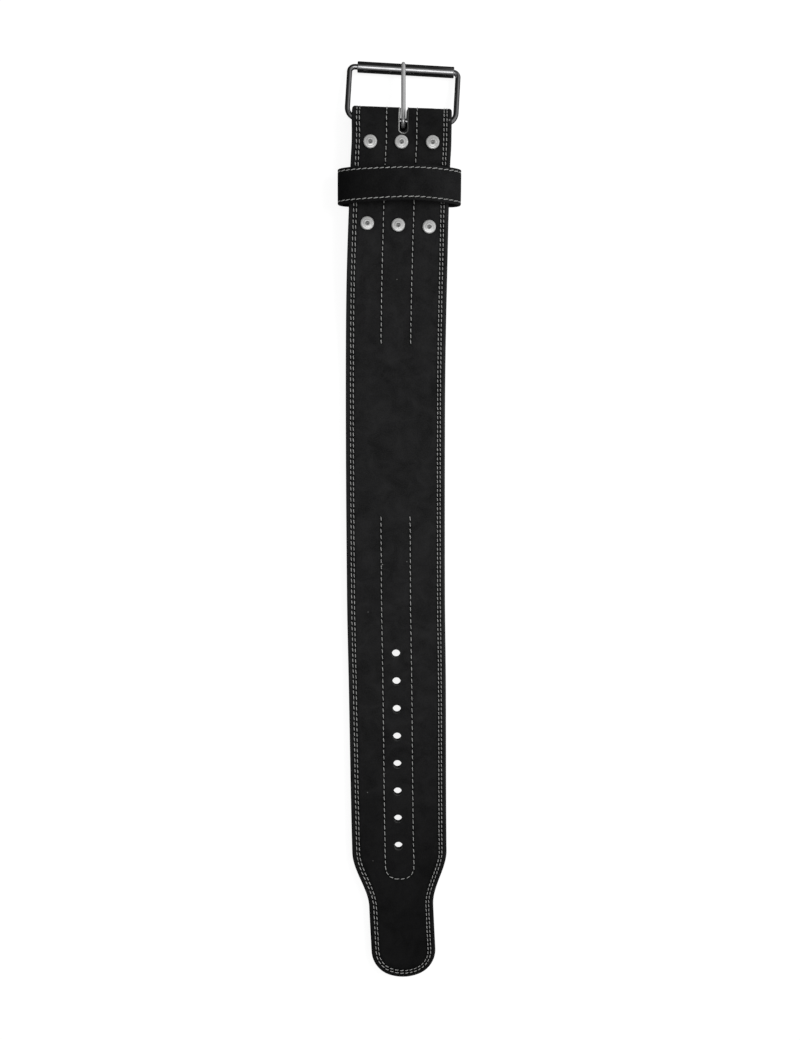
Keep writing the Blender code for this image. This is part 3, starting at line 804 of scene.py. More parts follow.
def rivet_cutter(place):
    """Bore for a rivet's shank, widened below for its cap."""
    bore, recess = RIVET_SHANK / 2 + GAP, RIVET_CAP / 2 + GAP
    floor = RIVET_CAP_WALL + FLOOR_GAP + GAP
    reach = place.z + CUT_BEYOND
    profile = [(0, reach), (bore, reach), (bore, floor), (recess, floor), (recess, -CUT_BEYOND),
               (0, -CUT_BEYOND)]
    return spun(profile, 32, Matrix.Translation((place.x, place.y, 0)))


def slot_cutter():
    """Slot in the face layer, from the fold's nose to its point behind the bar."""
    half, blunt = SLOT_WIDTH / 2, SLOT_TIP / 2
    open_end = CHANNEL_RADIUS + FOLD_WALL + 2 * CUT_BEYOND
    outline = ((-half, open_end), (-half, -SLOT_LENGTH + SLOT_POINT), (-blunt, -SLOT_LENGTH),
               (blunt, -SLOT_LENGTH), (half, -SLOT_LENGTH + SLOT_POINT), (half, open_end))
    work = bmesh.new()
    base = work.faces.new([work.verts.new((x, y, BAR_HEIGHT)) for x, y in outline])
    raised = bmesh.ops.extrude_face_region(work, geom=[base])
    upper = [v for v in raised["geom"] if isinstance(v, bmesh.types.BMVert)]
    bmesh.ops.translate(work, verts=upper, vec=(0, 0, BAR_HEIGHT))
    upright = [e for e in work.edges if abs(e.verts[0].co.z - e.verts[1].co.z) > TINY]
    corners = [e for e in upright if e.verts[0].co.y < 0]
    bmesh.ops.bevel(work, geom=corners, offset=SLOT_CORNER, segments=3, profile=0.5,
                    affect='EDGES', material=-1)
    along_bar = Vector((math.cos(FRAME_YAW), -math.sin(FRAME_YAW), 0))
    centre = bar_centre() + along_bar * PRONG_SIDE
    place = Matrix.Translation((centre.x, centre.y, 0)) @ Matrix.Rotation(-FOLD_YAW, 4, 'Z')
    bmesh.ops.transform(work, matrix=place, verts=work.verts)
    bmesh.ops.recalc_face_normals(work, faces=work.faces)
    return work


def eye_cutter():
    """Round pocket for the prong's eye in the layer underneath."""
    half = PRONG_WIRE / 2 + PRONG_ROOM
    left = -half - EYE_RADIUS * math.tan(PRONG_SKEW)
    reach = EYE_RADIUS + PRONG_WIRE / 2 + PRONG_ROOM
    turn = Matrix.Rotation(math.radians(90), 4, 'Y')
    return spun([(0, left), (reach, left), (reach, half), (0, half)], 48, prong_place() @ turn)


def swing_cutter():
    """Way through the fold's nose that the prong needs when it swings down with the frame."""
    half = PRONG_WIRE / 2 + SWING_ROOM
    nose = CHANNEL_RADIUS + FOLD_WALL
    left, beyond = -half - nose * math.tan(PRONG_SKEW), nose + 0.003
    outline = ((left, BAR_RADIUS), (half, BAR_RADIUS), (half, NOSE_NOTCH), (NOTCH_SIDE, nose),
               (NOTCH_SIDE, beyond), (left, beyond))
    work = bmesh.new()
    base = work.faces.new([work.verts.new((x, y, 0)) for x, y in outline])
    bmesh.ops.rotate(work, verts=work.verts, cent=(0, 0, 0),
                     matrix=Matrix.Rotation(SWING_START, 3, 'X'))
    bmesh.ops.spin(work, geom=[base] + base.edges[:] + base.verts[:], cent=(0, 0, 0),
                   axis=(1, 0, 0), angle=-SWING_START - math.radians(90), steps=28,
                   use_merge=False, use_duplicate=False)
    bmesh.ops.recalc_face_normals(work, faces=work.faces)
    bmesh.ops.transform(work, matrix=prong_place(), verts=work.verts)
    return work


def bell_mouth_cutter(end):
    """Room inside the fold's end for the frame's corner, which turns with the frame."""
    straight = FRAME_WIDTH / 2 - INNER_CORNER
    inside = INNER_CORNER - BAR_RADIUS - GAP
    steps, swing = 8, math.radians(80)
    turns = [swing * i / steps for i in range(steps, -1, -1)]
    swept = [(INNER_CORNER - inside * math.cos(t), straight + inside * math.sin(t)) for t in turns]
    profile = [(0, swept[0][1])] + swept + [(0, straight)]
    turn = Matrix.Rotation(-FRAME_YAW, 4, 'Z') @ Matrix.Rotation(math.radians(90) * end, 4, 'Y')
    return spun(profile, 32, Matrix.Translation(bar_centre()) @ turn)


def cut_strap(strap):
    """Cuts the holes, rivet bores, slot and bell mouths, and marks their walls as raw leather."""
    work = bmesh.new()
    for i in range(HOLE_COUNT):
        add_to(work, hole_cutter(on_leather(FIRST_HOLE + i * HOLE_PITCH, HOLE_SIDE, 0)))
    for along, side in rivet_places():
        add_to(work, rivet_cutter(on_leather(along, side, 0)))
    for end in (-1, 1):
        add_to(work, bell_mouth_cutter(end))
    add_to(work, slot_cutter())
    cut_away(strap, work)
    cut_away(strap, swing_cutter())
    cut_away(strap, eye_cutter())
    strap.data.shade_smooth()
    strap.data.set_sharp_from_angle(angle=math.radians(50))


def cut_away(strap, work):
    """Cuts a bmesh out of the strap."""
    cutter = new_mesh_object("cuts", work)
    cutter.data.materials.append(bpy.data.materials["cut_leather"])
    modifier = strap.modifiers.new("cuts", 'BOOLEAN')
    modifier.operation = 'DIFFERENCE'
    modifier.solver = 'EXACT'
    modifier.material_mode = 'TRANSFER'
    modifier.object = cutter
    graph = bpy.context.evaluated_depsgraph_get()
    mesh = bpy.data.meshes.new_from_object(strap.evaluated_get(graph))
    strap.modifiers.clear()
    old = strap.data
    strap.data = mesh
    mesh.name = strap.name
    bpy.data.meshes.remove(old)
    bpy.data.objects.remove(cutter)


def ring_edges(ring):
    """Edges that join the points of a ring to each other."""
    return list({e for v in ring for e in v.link_edges if all(o in ring for o in e.verts)})


def stitch_template():
    """One stitch as a short arched tube: 1 long on X, 1 in radius, with a UV map along it."""
    work = bmesh.new()
    sides, rings = 7, 7
    bmesh.ops.create_circle(work, cap_ends=True, segments=sides, radius=1.0,
                            matrix=Matrix.Rotation(math.radians(90), 4, 'Y'))
    ring = work.verts[:]
    profile = []
    for i in range(rings):
        share = i / (rings - 1)
        arch = math.sin(math.pi * (0.06 + 0.88 * share))
        profile.append((share, 0.95 * arch ** 0.55 - 0.45, 0.42 + 0.58 * arch ** 0.4))
    centre = 0.0
    for i, (place, lift, size) in enumerate(profile):
        if i:
            swept = bmesh.ops.extrude_edge_only(work, edges=ring_edges(ring))
            ring = [v for v in swept["geom"] if isinstance(v, bmesh.types.BMVert)]
        for vert in ring:
            turn = math.atan2(vert.co.z - centre, vert.co.y)
            vert.co = (place, size * math.cos(turn), lift + size * math.sin(turn))
        centre = lift
    bmesh.ops.contextual_create(work, geom=ring_edges(ring))
    uv = work.loops.layers.uv.new("thread")
    core = -0.2                     # height about which the twist is counted
    for face in work.faces:
        middle = face.calc_center_median()
        base = math.atan2(middle.z - core, middle.y) / math.tau
        for loop in face.loops:
            co = loop.vert.co
            turn = math.atan2(co.z - core, co.y) / math.tau
            loop[uv].uv = (co.x, turn - round(turn - base))
    bmesh.ops.recalc_face_normals(work, faces=work.faces)
    mesh = bpy.data.meshes.new("stitch")
    work.to_mesh(mesh)
    work.free()
    return mesh


def on_back(along, side, height):
    """Point a height above the strap's back, where the thread lies deeper."""
    return on_leather(along, side, height - BACK_SINK, False)


def spaced_on(path, place, pitch):
    """Points of a path at equal distances along it, measured in space."""
    points = [place(*p, 0.0) for p in path]
    lengths = [0.0]
    for a, b in zip(points, points[1:]):
        lengths.append(lengths[-1] + (b - a).length)
    count = max(round(lengths[-1] / pitch), 1)
    found, index = [], 0
    for i in range(count + 1):
        want = lengths[-1] * i / count
        while index < len(lengths) - 2 and lengths[index + 1] < want:
            index += 1
        share = (want - lengths[index]) / max(lengths[index + 1] - lengths[index], TINY)
        a, b = path[index], path[index + 1]
        found.append(tuple(x + (y - x) * share for x, y in zip(a, b)))
    return found


def sew(work, template, path, place, pitch, draw, lean=0.10, fill=0.68):
    """Lays a row of stitches along a path of surface coordinates.

    place gives the point at a height above the surface, for each pair of coordinates. Each
    stitch leans by about the given angle and takes up about the given share of its pitch.
    """
    radius = bpy.context.scene.belt_thread.diameter / 2
    marks = spaced_on(path, place, pitch)
    for start, end in zip(marks, marks[1:]):
        low, high = place(*start, 0.0), place(*end, 0.0)
        middle = tuple((a + b) / 2 for a, b in zip(start, end))
        up = (place(*middle, 0.001) - place(*middle, 0.0)).normalized()
        turn = lean + draw.uniform(-LEAN_SPREAD, LEAN_SPREAD)
        run = Matrix.Rotation(turn, 3, up) @ (high - low)
        length = run.length * (fill + draw.uniform(*LENGTH_SPREAD))
        forward = run.normalized()
        across = up.cross(forward).normalized()
        up = forward.cross(across)
        origin = (low + high) / 2 - forward * length / 2
        origin += across * draw.uniform(-1, 1) * SIDE_SPREAD
        basis = Matrix((forward * length, across * radius, up * radius)).transposed().to_4x4()
        piece = template.copy()
        piece.transform(Matrix.Translation(origin) @ basis)
        work.from_mesh(piece)
        bpy.data.meshes.remove(piece)


def keeper_outline():
    """Middle line of the keeper's wall across the belt: side and height above the layer below."""
    half_wall = KEEPER_WALL / 2
    low = GAP + half_wall
    high = KEEPER_DOME_TOP
    half_span = KEEPER_SPAN / 2 - half_wall
    turn_steps, dome_steps, floor_steps = 16, 40, 14
    points = [((half_span - KEEPER_TURN) * i / floor_steps, low) for i in range(floor_steps)]
    for i in range(turn_steps):
        angle = math.pi / 2 * (1 - i / turn_steps)
        points.append((half_span - KEEPER_TURN * (1 - math.cos(angle)),
                       KEEPER_WAIST + (low - KEEPER_WAIST) * math.sin(angle)))
    for i in range(dome_steps):
        angle = math.pi / 2 * (1 - i / dome_steps)
        points.append((half_span * math.sin(angle) ** KEEPER_DOME[0],
                       KEEPER_WAIST + (high - KEEPER_WAIST) * math.cos(angle) ** KEEPER_DOME[1]))
    left = [(-x, z) for x, z in reversed(points[1:])]
    return points + [(0.0, high)] + left


def bar_centre():
    """Middle of the frame's inner bar."""
    centre, across, _, _, _ = strap_frame(0.0)
    place = centre + across * FRAME_SIDE
    return Vector((place.x, place.y, BAR_HEIGHT))


def keeper_matrix():
    """Place and turn of the keeper on the layer below."""
    return (Matrix.Translation((0, BAR_Y - KEEPER_STATION, FOLD_WALL))
            @ Matrix.Rotation(-KEEPER_YAW, 4, 'Z'))


@lru_cache(maxsize=None)
def keeper_line():
    """The outline's points, spaced evenly, and its outward normals."""
    outline = [Vector((x, 0, z)) for x, z in keeper_outline()]
    closed = outline + [outline[0]]
    lengths = [0.0]
    for a, b in zip(closed, closed[1:]):
        lengths.append(lengths[-1] + (b - a).length)
    points, index = [], 0
    for i in range(KEEPER_RINGS):
        want = lengths[-1] * i / KEEPER_RINGS
        while lengths[index + 1] < want:
            index += 1
        share = (want - lengths[index]) / (lengths[index + 1] - lengths[index])
        points.append(closed[index].lerp(closed[index + 1], share))
    normals = []
    for i in range(KEEPER_RINGS):
        run = points[(i + 1) % KEEPER_RINGS] - points[i - 1]
        normals.append(Vector((run.z, 0, -run.x)).normalized())
    return points, normals


def keeper_creep(point, across):
    """How far the keeper's front has crept towards the buckle, most in its middle."""
    raised = ease((point.z - KEEPER_WAIST) / (KEEPER_DOME_TOP - KEEPER_WAIST))
    lower = 0.5 - across / KEEPER_WIDTH
    reach = KEEPER_CREEP[0] + (KEEPER_CREEP[1] - KEEPER_CREEP[0]) * lower
    return Vector((0, reach * raised * bump_at(point.x - KEEPER_CREEP_SIDE, KEEPER_CREEP_REACH),
                   0))


def keeper_point(round_share, across, height):
    """Point of the keeper: share of the way round, across the band, height off its outer side."""
    points, normals = keeper_line()
    place = round_share % 1.0 * len(points)
    index = int(place) % len(points)
    share = place - int(place)
    following = (index + 1) % len(points)
    point = points[index].lerp(points[following], share)
    normal = normals[index].lerp(normals[following], share).normalized()
    local = point + Vector((0, across, 0)) + normal * (KEEPER_WALL / 2 + height)
    return keeper_matrix() @ (local + keeper_creep(point, across))


def keeper_section():
    """Section of the band: across it, and height off the middle of its wall, anticlockwise."""
    thread = bpy.context.scene.belt_thread
    half, half_wall = KEEPER_WIDTH / 2, KEEPER_WALL / 2
    soft = 0.0012
    row = half - thread.keeper_row
    crease = bpy.context.scene.belt_leather.groove_depth
    corner = []
    steps = 4
    for i in range(steps + 1):
        angle = math.pi / 2 * i / steps
        corner.append((half - soft + soft * math.cos(angle),
                       half_wall - soft + soft * math.sin(angle)))
    # Crease under the row of thread: place across the band, and share of its depth
    dips = [(row + 0.0009, 0.0), (row + 0.0004, 0.6), (row, 1.0), (row - 0.0004, 0.6),
            (row - 0.0010, 0.0)]
    face = corner + [(y, half_wall - crease * d) for y, d in dips]
    flats = [(y * half, half_wall) for y in (0.62, 0.44, 0.22, 0.0)]
    upper = face + flats + [(-y, z) for y, z in reversed(face + flats[:-1])]
    return upper + [(y, -z) for y, z in reversed(upper)]


def build_keeper_band():
    """The section carried round the outline, ring by ring, with a little sag and unevenness."""
    points, normals = keeper_line()
    section = keeper_section()
    work = bmesh.new()
    waves, depth = KEEPER_WAVES

    def settle(ring, index):
        """Moves a ring's points to their place in the band."""
        point, normal = points[index % KEEPER_RINGS], normals[index % KEEPER_RINGS]
        for vert, (across, height) in zip(ring, section):
            wave = noise.noise(Vector((point.x * waves, across * waves, point.z * waves)))
            lift = depth * wave if height > 0 else 0.0
            local = point + Vector((0, across, 0)) + normal * (height + lift)
            vert.co = keeper_matrix() @ (local + keeper_creep(point, across))

    ring = [work.verts.new() for _ in section]
    edges = [work.edges.new((ring[i - 1], ring[i])) for i in range(len(ring))]
    settle(ring, 0)
    for index in range(1, KEEPER_RINGS + 1):
        swept = bmesh.ops.extrude_edge_only(work, edges=edges)
        fresh = {item for item in swept["geom"] if isinstance(item, bmesh.types.BMVert)}
        ring = [next(v for e in vert.link_edges for v in e.verts if v in fresh) for vert in ring]
        edges = [work.edges.get((ring[i - 1], ring[i])) for i in range(len(ring))]
        settle(ring, index)
    bmesh.ops.remove_doubles(work, verts=work.verts, dist=TINY)
    return work


def swept_wire(frames, radius, sides=24, closed=False):
    """Round wire carried through a list of frames, each a matrix and a share of the radius."""
    work = bmesh.new()
    ring = bmesh.ops.create_circle(work, cap_ends=not closed, segments=sides, radius=radius)
    ring = ring["verts"]
    edges = list({e for v in ring for e in v.link_edges})
    first = frames[0][0] @ Matrix.Scale(frames[0][1], 4)
    bmesh.ops.transform(work, matrix=first, verts=ring)
    for (last, last_share), (following, share) in zip(frames, frames[1:]):
        swept = bmesh.ops.extrude_edge_only(work, edges=edges)
        ring = [item for item in swept["geom"] if isinstance(item, bmesh.types.BMVert)]
        edges = [item for item in swept["geom"] if isinstance(item, bmesh.types.BMEdge)
                 and all(v in ring for v in item.verts)]
        step = following @ Matrix.Scale(share / last_share, 4) @ last.inverted()
        bmesh.ops.transform(work, matrix=step, verts=ring)
    if closed:
        bmesh.ops.remove_doubles(work, verts=work.verts, dist=TINY * 10)
    else:
        bmesh.ops.contextual_create(work, geom=edges)
    return work


def frames_along(points, side, closed=False):
    """Frame at each point of a path, square to the path and turned towards one side."""
    frames = []
    count = len(points)
    for i, point in enumerate(points):
        before = points[i - 1] if closed or i else points[0]
        after = points[(i + 1) % count] if closed or i < count - 1 else points[-1]
        forward = (after - before).normalized()
        across = (side - forward * side.dot(forward)).normalized()
        up = forward.cross(across)
        frames.append(Matrix.Translation(point)
                      @ Matrix((across, up, forward)).transposed().to_4x4())
    return frames + [frames[0]] if closed else frames


def buckle_matrix(drop=True):
    """Place and turn of the buckle, tilted down to its roller or level."""
    turn = Matrix.Rotation(-FRAME_YAW, 4, 'Z')
    if drop:
        turn = turn @ Matrix.Rotation(-FRAME_DROP, 4, 'X')
    return Matrix.Translation(bar_centre()) @ turn


def frame_route():
    """Middle line of the frame's wire in its own plane, with the inner bar on the X axis."""
    half = FRAME_WIDTH / 2
    corners = (
        (half - INNER_CORNER, INNER_CORNER, INNER_CORNER, -90, 16),
        (half - OUTER_CORNER, BAR_SPACING - OUTER_CORNER, OUTER_CORNER, 0, 12),
        (-half + OUTER_CORNER, BAR_SPACING - OUTER_CORNER, OUTER_CORNER, 90, 12),
        (-half + INNER_CORNER, INNER_CORNER, INNER_CORNER, 180, 16),
    )
    points = []
    for x, y, radius, start, steps in corners:
        for i in range(steps + 1):
            angle = math.radians(start + 90 * i / steps)
            points.append(Vector((x + radius * math.cos(angle), y + radius * math.sin(angle), 0)))
    return points


def prong_route():
    """Middle line of the prong from the end of its eye to its tip, with shares of its radius."""
    rest = ROLLER_RADIUS + GAP + PRONG_WIRE / 2
    reach = BAR_SPACING * math.cos(FRAME_DROP)
    drop = BAR_SPACING * math.sin(FRAME_DROP)
    lean = math.atan2(drop, reach) - math.asin((rest - EYE_RADIUS) / math.hypot(reach, drop))
    points = []
    eye_steps, tip_steps, shank_steps = 44, 8, 12
    for i in range(eye_steps + 1):
        angle = math.pi / 2 - lean + EYE_WRAP * (1 - i / eye_steps)
        points.append(Vector((0, EYE_RADIUS * math.cos(angle), EYE_RADIUS * math.sin(angle))))
    bend = []
    for i in range(tip_steps + 1):
        angle = math.pi / 2 - lean - PRONG_OVERHANG * i / tip_steps
        bend.append(Vector((0, reach + rest * math.cos(angle), -drop + rest * math.sin(angle))))
    for i in range(1, shank_steps):
        points.append(points[eye_steps].lerp(bend[0], i / shank_steps))
    points += bend
    for point in points:
        point.x = -math.tan(PRONG_SKEW) * max(point.y, 0.0)
    return points


def build_frame_wire():
    """Closed wire of the frame."""
    place = buckle_matrix()
    points = [place @ p for p in frame_route()]
    normal = place.to_3x3() @ Vector((0, 0, 1))
    return swept_wire([(m, 1.0) for m in frames_along(points, normal, closed=True)],
                      BAR_RADIUS, 32, closed=True)


def prong_place():
    """Place and turn of the prong, level and a little to one side."""
    return buckle_matrix(drop=False) @ Matrix.Translation((PRONG_SIDE, 0, 0))


def build_prong_wire():
    """Prong with blunt ends: its eye round the bar, and a tip that thins a little."""
    place = prong_place()
    points = [place @ p for p in prong_route()]
    tail = (points[-1] - points[-2]).normalized()
    head = (points[0] - points[1]).normalized()
    radius = PRONG_WIRE / 2
    dome, round_steps = math.radians(84), 6
    head_reach, tail_reach = 0.45, 0.8      # of the rounded ends, in radii
    thinning, thin_steps = 0.16, 12
    turns = [dome * i / round_steps for i in range(1, round_steps + 1)]
    start = [(points[0] + head * radius * head_reach * math.sin(t), math.cos(t))
             for t in reversed(turns)]
    body = [(p, 1.0 - thinning * ease((i - len(points) + thin_steps) / thin_steps))
            for i, p in enumerate(points)]
    finish = [(points[-1] + tail * radius * tail_reach * math.sin(t),
               math.cos(t) * body[-1][1]) for t in turns]
    line = start + body + finish
    side = place.to_3x3() @ Vector((1, 0, 0))
    frames = frames_along([p for p, _ in line], side)
    return swept_wire([(m, s) for m, (_, s) in zip(frames, line)], radius, 24)


def build_roller_tube():
    """Tube of the roller with softened ends."""
    half = ROLLER_LENGTH / 2
    bore, soft = BAR_RADIUS + GAP, 0.0007
    profile = []
    steps = 5
    for i in range(steps + 1):
        angle = math.pi / 2 * i / steps
        profile.append((ROLLER_RADIUS - soft + soft * math.sin(angle),
                        half - soft + soft * math.cos(angle)))
    outer = profile + [(ROLLER_RADIUS, half * k / 6) for k in (4, 2, 0)]
    outer += [(r, -h) for r, h in reversed(outer[:-1])]
    ring = outer + [(bore, -half), (bore, 0.0), (bore, half)]
    place = buckle_matrix() @ Matrix.Translation((ROLLER_SIDE, BAR_SPACING, 0))
    return spun(ring, 48, place @ Matrix.Rotation(math.radians(90), 4, 'Y'))


def build_rivet_head(place):
    """Rivet with its rolled head on the face, shank through the layers and cap let in below."""
    seat = place.z + GAP
    head, shank, cap = RIVET_HEAD / 2, RIVET_SHANK / 2, RIVET_CAP / 2
    cap_top = RIVET_CAP_WALL + FLOOR_GAP
    soft, bottom = 0.0004, 0.62     # rounding of the cap; depth of the bore, in head heights
    profile = [(0, seat - RIVET_HEAD_HEIGHT * bottom)]
    profile += [(head * r, seat + RIVET_HEAD_HEIGHT * h) for r, h in reversed(HEAD_PROFILE)]
    profile += [(shank, seat), (shank, cap_top), (cap - soft, cap_top), (cap, cap_top - soft),
                (cap, FLOOR_GAP + soft), (cap - soft, FLOOR_GAP), (0, FLOOR_GAP)]
    work = spun(profile, 56, Matrix.Translation((place.x, place.y, 0)))
    # painted shade: the head's hollow middle and its ring groove are darkened
    soil = work.verts.layers.float.new("soil")
    for vert in work.verts:
        radius = math.hypot(vert.co.x - place.x, vert.co.y - place.y) / head
        vert[soil] = sum(share * bump_at(radius - middle, spread)
                         for share, middle, spread in HEAD_SHADE)
    return work


def new_material(name):
    """New material with its node tree and its shader."""
    material = bpy.data.materials.new(name)
    material.use_nodes = True
    tree = material.node_tree
    return material, tree, tree.nodes["Principled BSDF"]


def add_node(tree, kind, settings=None, **inputs):
    """Adds a node, sets its options, and sets or links its inputs."""
    node = tree.nodes.new(kind)
    for key, value in (settings or {}).items():
        setattr(node, key, value)
    for key, value in inputs.items():
        socket = node.inputs[key.replace("_", " ") if not key.startswith("n") or
                             not key[1:].isdigit() else int(key[1:])]
        if isinstance(value, bpy.types.NodeSocket):
            tree.links.new(value, socket)
        else:
            socket.default_value = value
    return node


def maths(tree, operation, *values):
    """Value that an operation gives for the values or outputs."""
    inputs = {f"n{i}": value for i, value in enumerate(values)}
    return add_node(tree, "ShaderNodeMath", {"operation": operation}, **inputs).outputs[0]


def attribute(tree, name):
    """Value of an attribute of the mesh, or 0 where it has none."""
    return add_node(tree, "ShaderNodeAttribute", {"attribute_name": name}).outputs["Fac"]


def tint(colour, share=1.0):
    """Colour of a setting, darkened or brightened, for a socket."""
    return (*(c * share for c in colour), 1.0)


def grey(value):
    """Grey for a socket."""
    return (value, value, value, 1.0)


def add_bump(tree, shader, height, strength, distance):
    """Roughens the shader's normal by a height."""
    bump = add_node(tree, "ShaderNodeBump", None, Strength=strength, Distance=distance,
                    Height=height)
    tree.links.new(bump.outputs[0], shader.inputs["Normal"])


def ramp(tree, value, low, high, start, end):
    """Value mapped from one range to another, held at its ends."""
    node = add_node(tree, "ShaderNodeMapRange", {"clamp": True}, n0=value, n1=low, n2=high,
                    n3=start, n4=end)
    return node.outputs[0]


def blend(tree, share, low, high):
    """Colour between two colours."""
    node = add_node(tree, "ShaderNodeMix", {"data_type": 'RGBA'})
    for index, value in ((0, share), (6, low), (7, high)):
        if isinstance(value, bpy.types.NodeSocket):
            tree.links.new(value, node.inputs[index])
        else:
            node.inputs[index].default_value = value
    return node.outputs[2]


def group_tree(name, inputs, outputs):
    """New shader node group with float inputs and the named outputs."""
    tree = bpy.data.node_groups.new(name, 'ShaderNodeTree')
    for label, value in inputs:
        socket = tree.interface.new_socket(label, in_out='INPUT', socket_type='NodeSocketFloat')
        socket.default_value = value
    for label in outputs:
        tree.interface.new_socket(label, in_out='OUTPUT', socket_type='NodeSocketFloat')
    return tree, tree.nodes.new("NodeGroupInput"), tree.nodes.new("NodeGroupOutput")


def place_group(tree, name, **values):
    """Adds a shared node group and sets its inputs."""
    node = tree.nodes.new("ShaderNodeGroup")
    node.node_tree = bpy.data.node_groups[name]
    for key, value in values.items():
        node.inputs[key.replace("_", " ")].default_value = value
    return node


def nap_group():
    """Brushed nap: broad cloudy patches, short fibres, height of the pile and specks of lint."""
    tree, given, result = group_tree("suede nap", (("Patch Scale", 55.0), ("Fibre Scale", 900.0)),
                                     ("Patches", "Fibres", "Pile", "Lint"))
    place = add_node(tree, "ShaderNodeTexCoord").outputs["Object"]
    patches = add_node(tree, "ShaderNodeTexNoise", None, Vector=place, Scale=given.outputs[0],
                       Detail=4.0, Roughness=0.62, Distortion=0.6)
    fibres = add_node(tree, "ShaderNodeTexNoise", None, Vector=place, Scale=given.outputs[1],
                      Detail=3.0, Roughness=0.7)
    stretch = add_node(tree, "ShaderNodeMapping", None, Vector=place, Scale=(1.0, 0.35, 1.0))
    pile = add_node(tree, "ShaderNodeTexNoise", None, Vector=stretch.outputs[0],
                    Scale=given.outputs[1], Detail=2.0, Roughness=0.8)
    tree.links.new(ramp(tree, patches.outputs[0], 0.32, 0.70, 0.0, 1.0), result.inputs[0])
    tree.links.new(ramp(tree, fibres.outputs[0], 0.35, 0.72, 0.0, 1.0), result.inputs[1])
    tree.links.new(pile.outputs[0], result.inputs[2])
    lint = add_node(tree, "ShaderNodeTexVoronoi", None, Vector=place, Scale=34.0)
    tree.links.new(lint.outputs["Distance"], result.inputs[3])
    return tree


def scuff_group():
    """Handled metal: a web of fine scratches and a cloudy film."""
    tree, given, result = group_tree("metal scuffs", (("Scratch Scale", 300.0),),
                                     ("Scratches", "Film"))
    place = add_node(tree, "ShaderNodeTexCoord").outputs["Object"]
    turned = add_node(tree, "ShaderNodeMapping", None, Vector=place, Rotation=(0.4, 0.3, 0.7),
                      Scale=(0.08, 1.0, 1.0))
    lines = add_node(tree, "ShaderNodeTexNoise", None, Vector=turned.outputs[0],
                     Scale=given.outputs[0], Detail=5.0, Roughness=0.75)
    film = add_node(tree, "ShaderNodeTexNoise", None, Vector=place, Scale=140.0, Detail=4.0,
                    Roughness=0.6)
    tree.links.new(ramp(tree, lines.outputs[0], 0.56, 0.70, 0.0, 1.0), result.inputs[0])
    tree.links.new(ramp(tree, film.outputs[0], 0.35, 0.72, 0.0, 1.0), result.inputs[1])
    return tree


def suede_material(name, colour, worn_colour, left_shade=0.0):
    """Black nap: cloudy where it is brushed, grey where it is rubbed, darkened along the thread by
    painted shade.
    """
    material, tree, shader = new_material(name)
    nap = place_group(tree, "suede nap")
    fibres, worn, black = nap.outputs["Fibres"], tint(worn_colour), tint(colour, 0.15)
    cloudy = blend(tree, nap.outputs["Patches"], tint(colour), tint(colour, 2.3))
    fibrous = blend(tree, maths(tree, 'MULTIPLY', fibres, 0.28), cloudy, worn)
    rub = maths(tree, 'MULTIPLY', maths(tree, 'MULTIPLY', attribute(tree, "wear"), fibres), 0.90)
    rubbed_nap = blend(tree, rub, fibrous, worn)
    place = add_node(tree, "ShaderNodeTexCoord").outputs["Object"]
    level = add_node(tree, "ShaderNodeSeparateXYZ", None, Vector=place)
    # painted shade: the keeper's nap is darkened towards its left, away from the key light on the
    # right
    if left_shade:                  # the keeper is darker on its left
        shade = ramp(tree, level.outputs[0], -0.055, 0.045, left_shade, 0.0)
    else:                           # the strap is darker towards both its ends
        far = maths(tree, 'ABSOLUTE', maths(tree, 'SUBTRACT', level.outputs[1], 0.06))
        shade = ramp(tree, far, 0.22, 0.46, 0.0, 0.58)
    shaded = blend(tree, shade, rubbed_nap, black)
    # painted shade: the nap is darkened beside the rows of thread, where the crease mask is
    pressed = maths(tree, 'MULTIPLY', attribute(tree, "crease"), 0.62)
    row_shaded = blend(tree, pressed, shaded, black)
    lint = ramp(tree, nap.outputs["Lint"], 0.018, 0.030, 0.7, 0.0)
    tree.links.new(blend(tree, lint, row_shaded, LINT_COLOUR), shader.inputs["Base Color"])
    tree.links.new(ramp(tree, fibres, 0.0, 1.0, 1.0, 0.82), shader.inputs["Roughness"])
    shader.inputs["Specular IOR Level"].default_value = 0.05
    shader.inputs["Sheen Weight"].default_value = 0.02
    shader.inputs["Sheen Roughness"].default_value = 0.5
    add_bump(tree, shader, nap.outputs["Pile"], 0.55, 0.00035)
    return material


def cut_material(name, colour):
    """Raw leather, where it is cut: fluffed, and darkened by painted shade where its mesh marks it.
    """
    material, tree, shader = new_material(name)
    nap = place_group(tree, "suede nap", Fibre_Scale=1400.0)
    fluffed = blend(tree, nap.outputs["Fibres"], tint(colour, 0.35), tint(colour))
    # painted shade where the mesh marks it, on the slot's rim
    tree.links.new(blend(tree, attribute(tree, "soil"), fluffed, grey(0.02)),
                   shader.inputs["Base Color"])
    tree.links.new(ramp(tree, nap.outputs["Patches"], 0.0, 1.0, 0.75, 0.95),
                   shader.inputs["Roughness"])
    add_bump(tree, shader, nap.outputs["Pile"], 0.6, 0.0003)
    return material


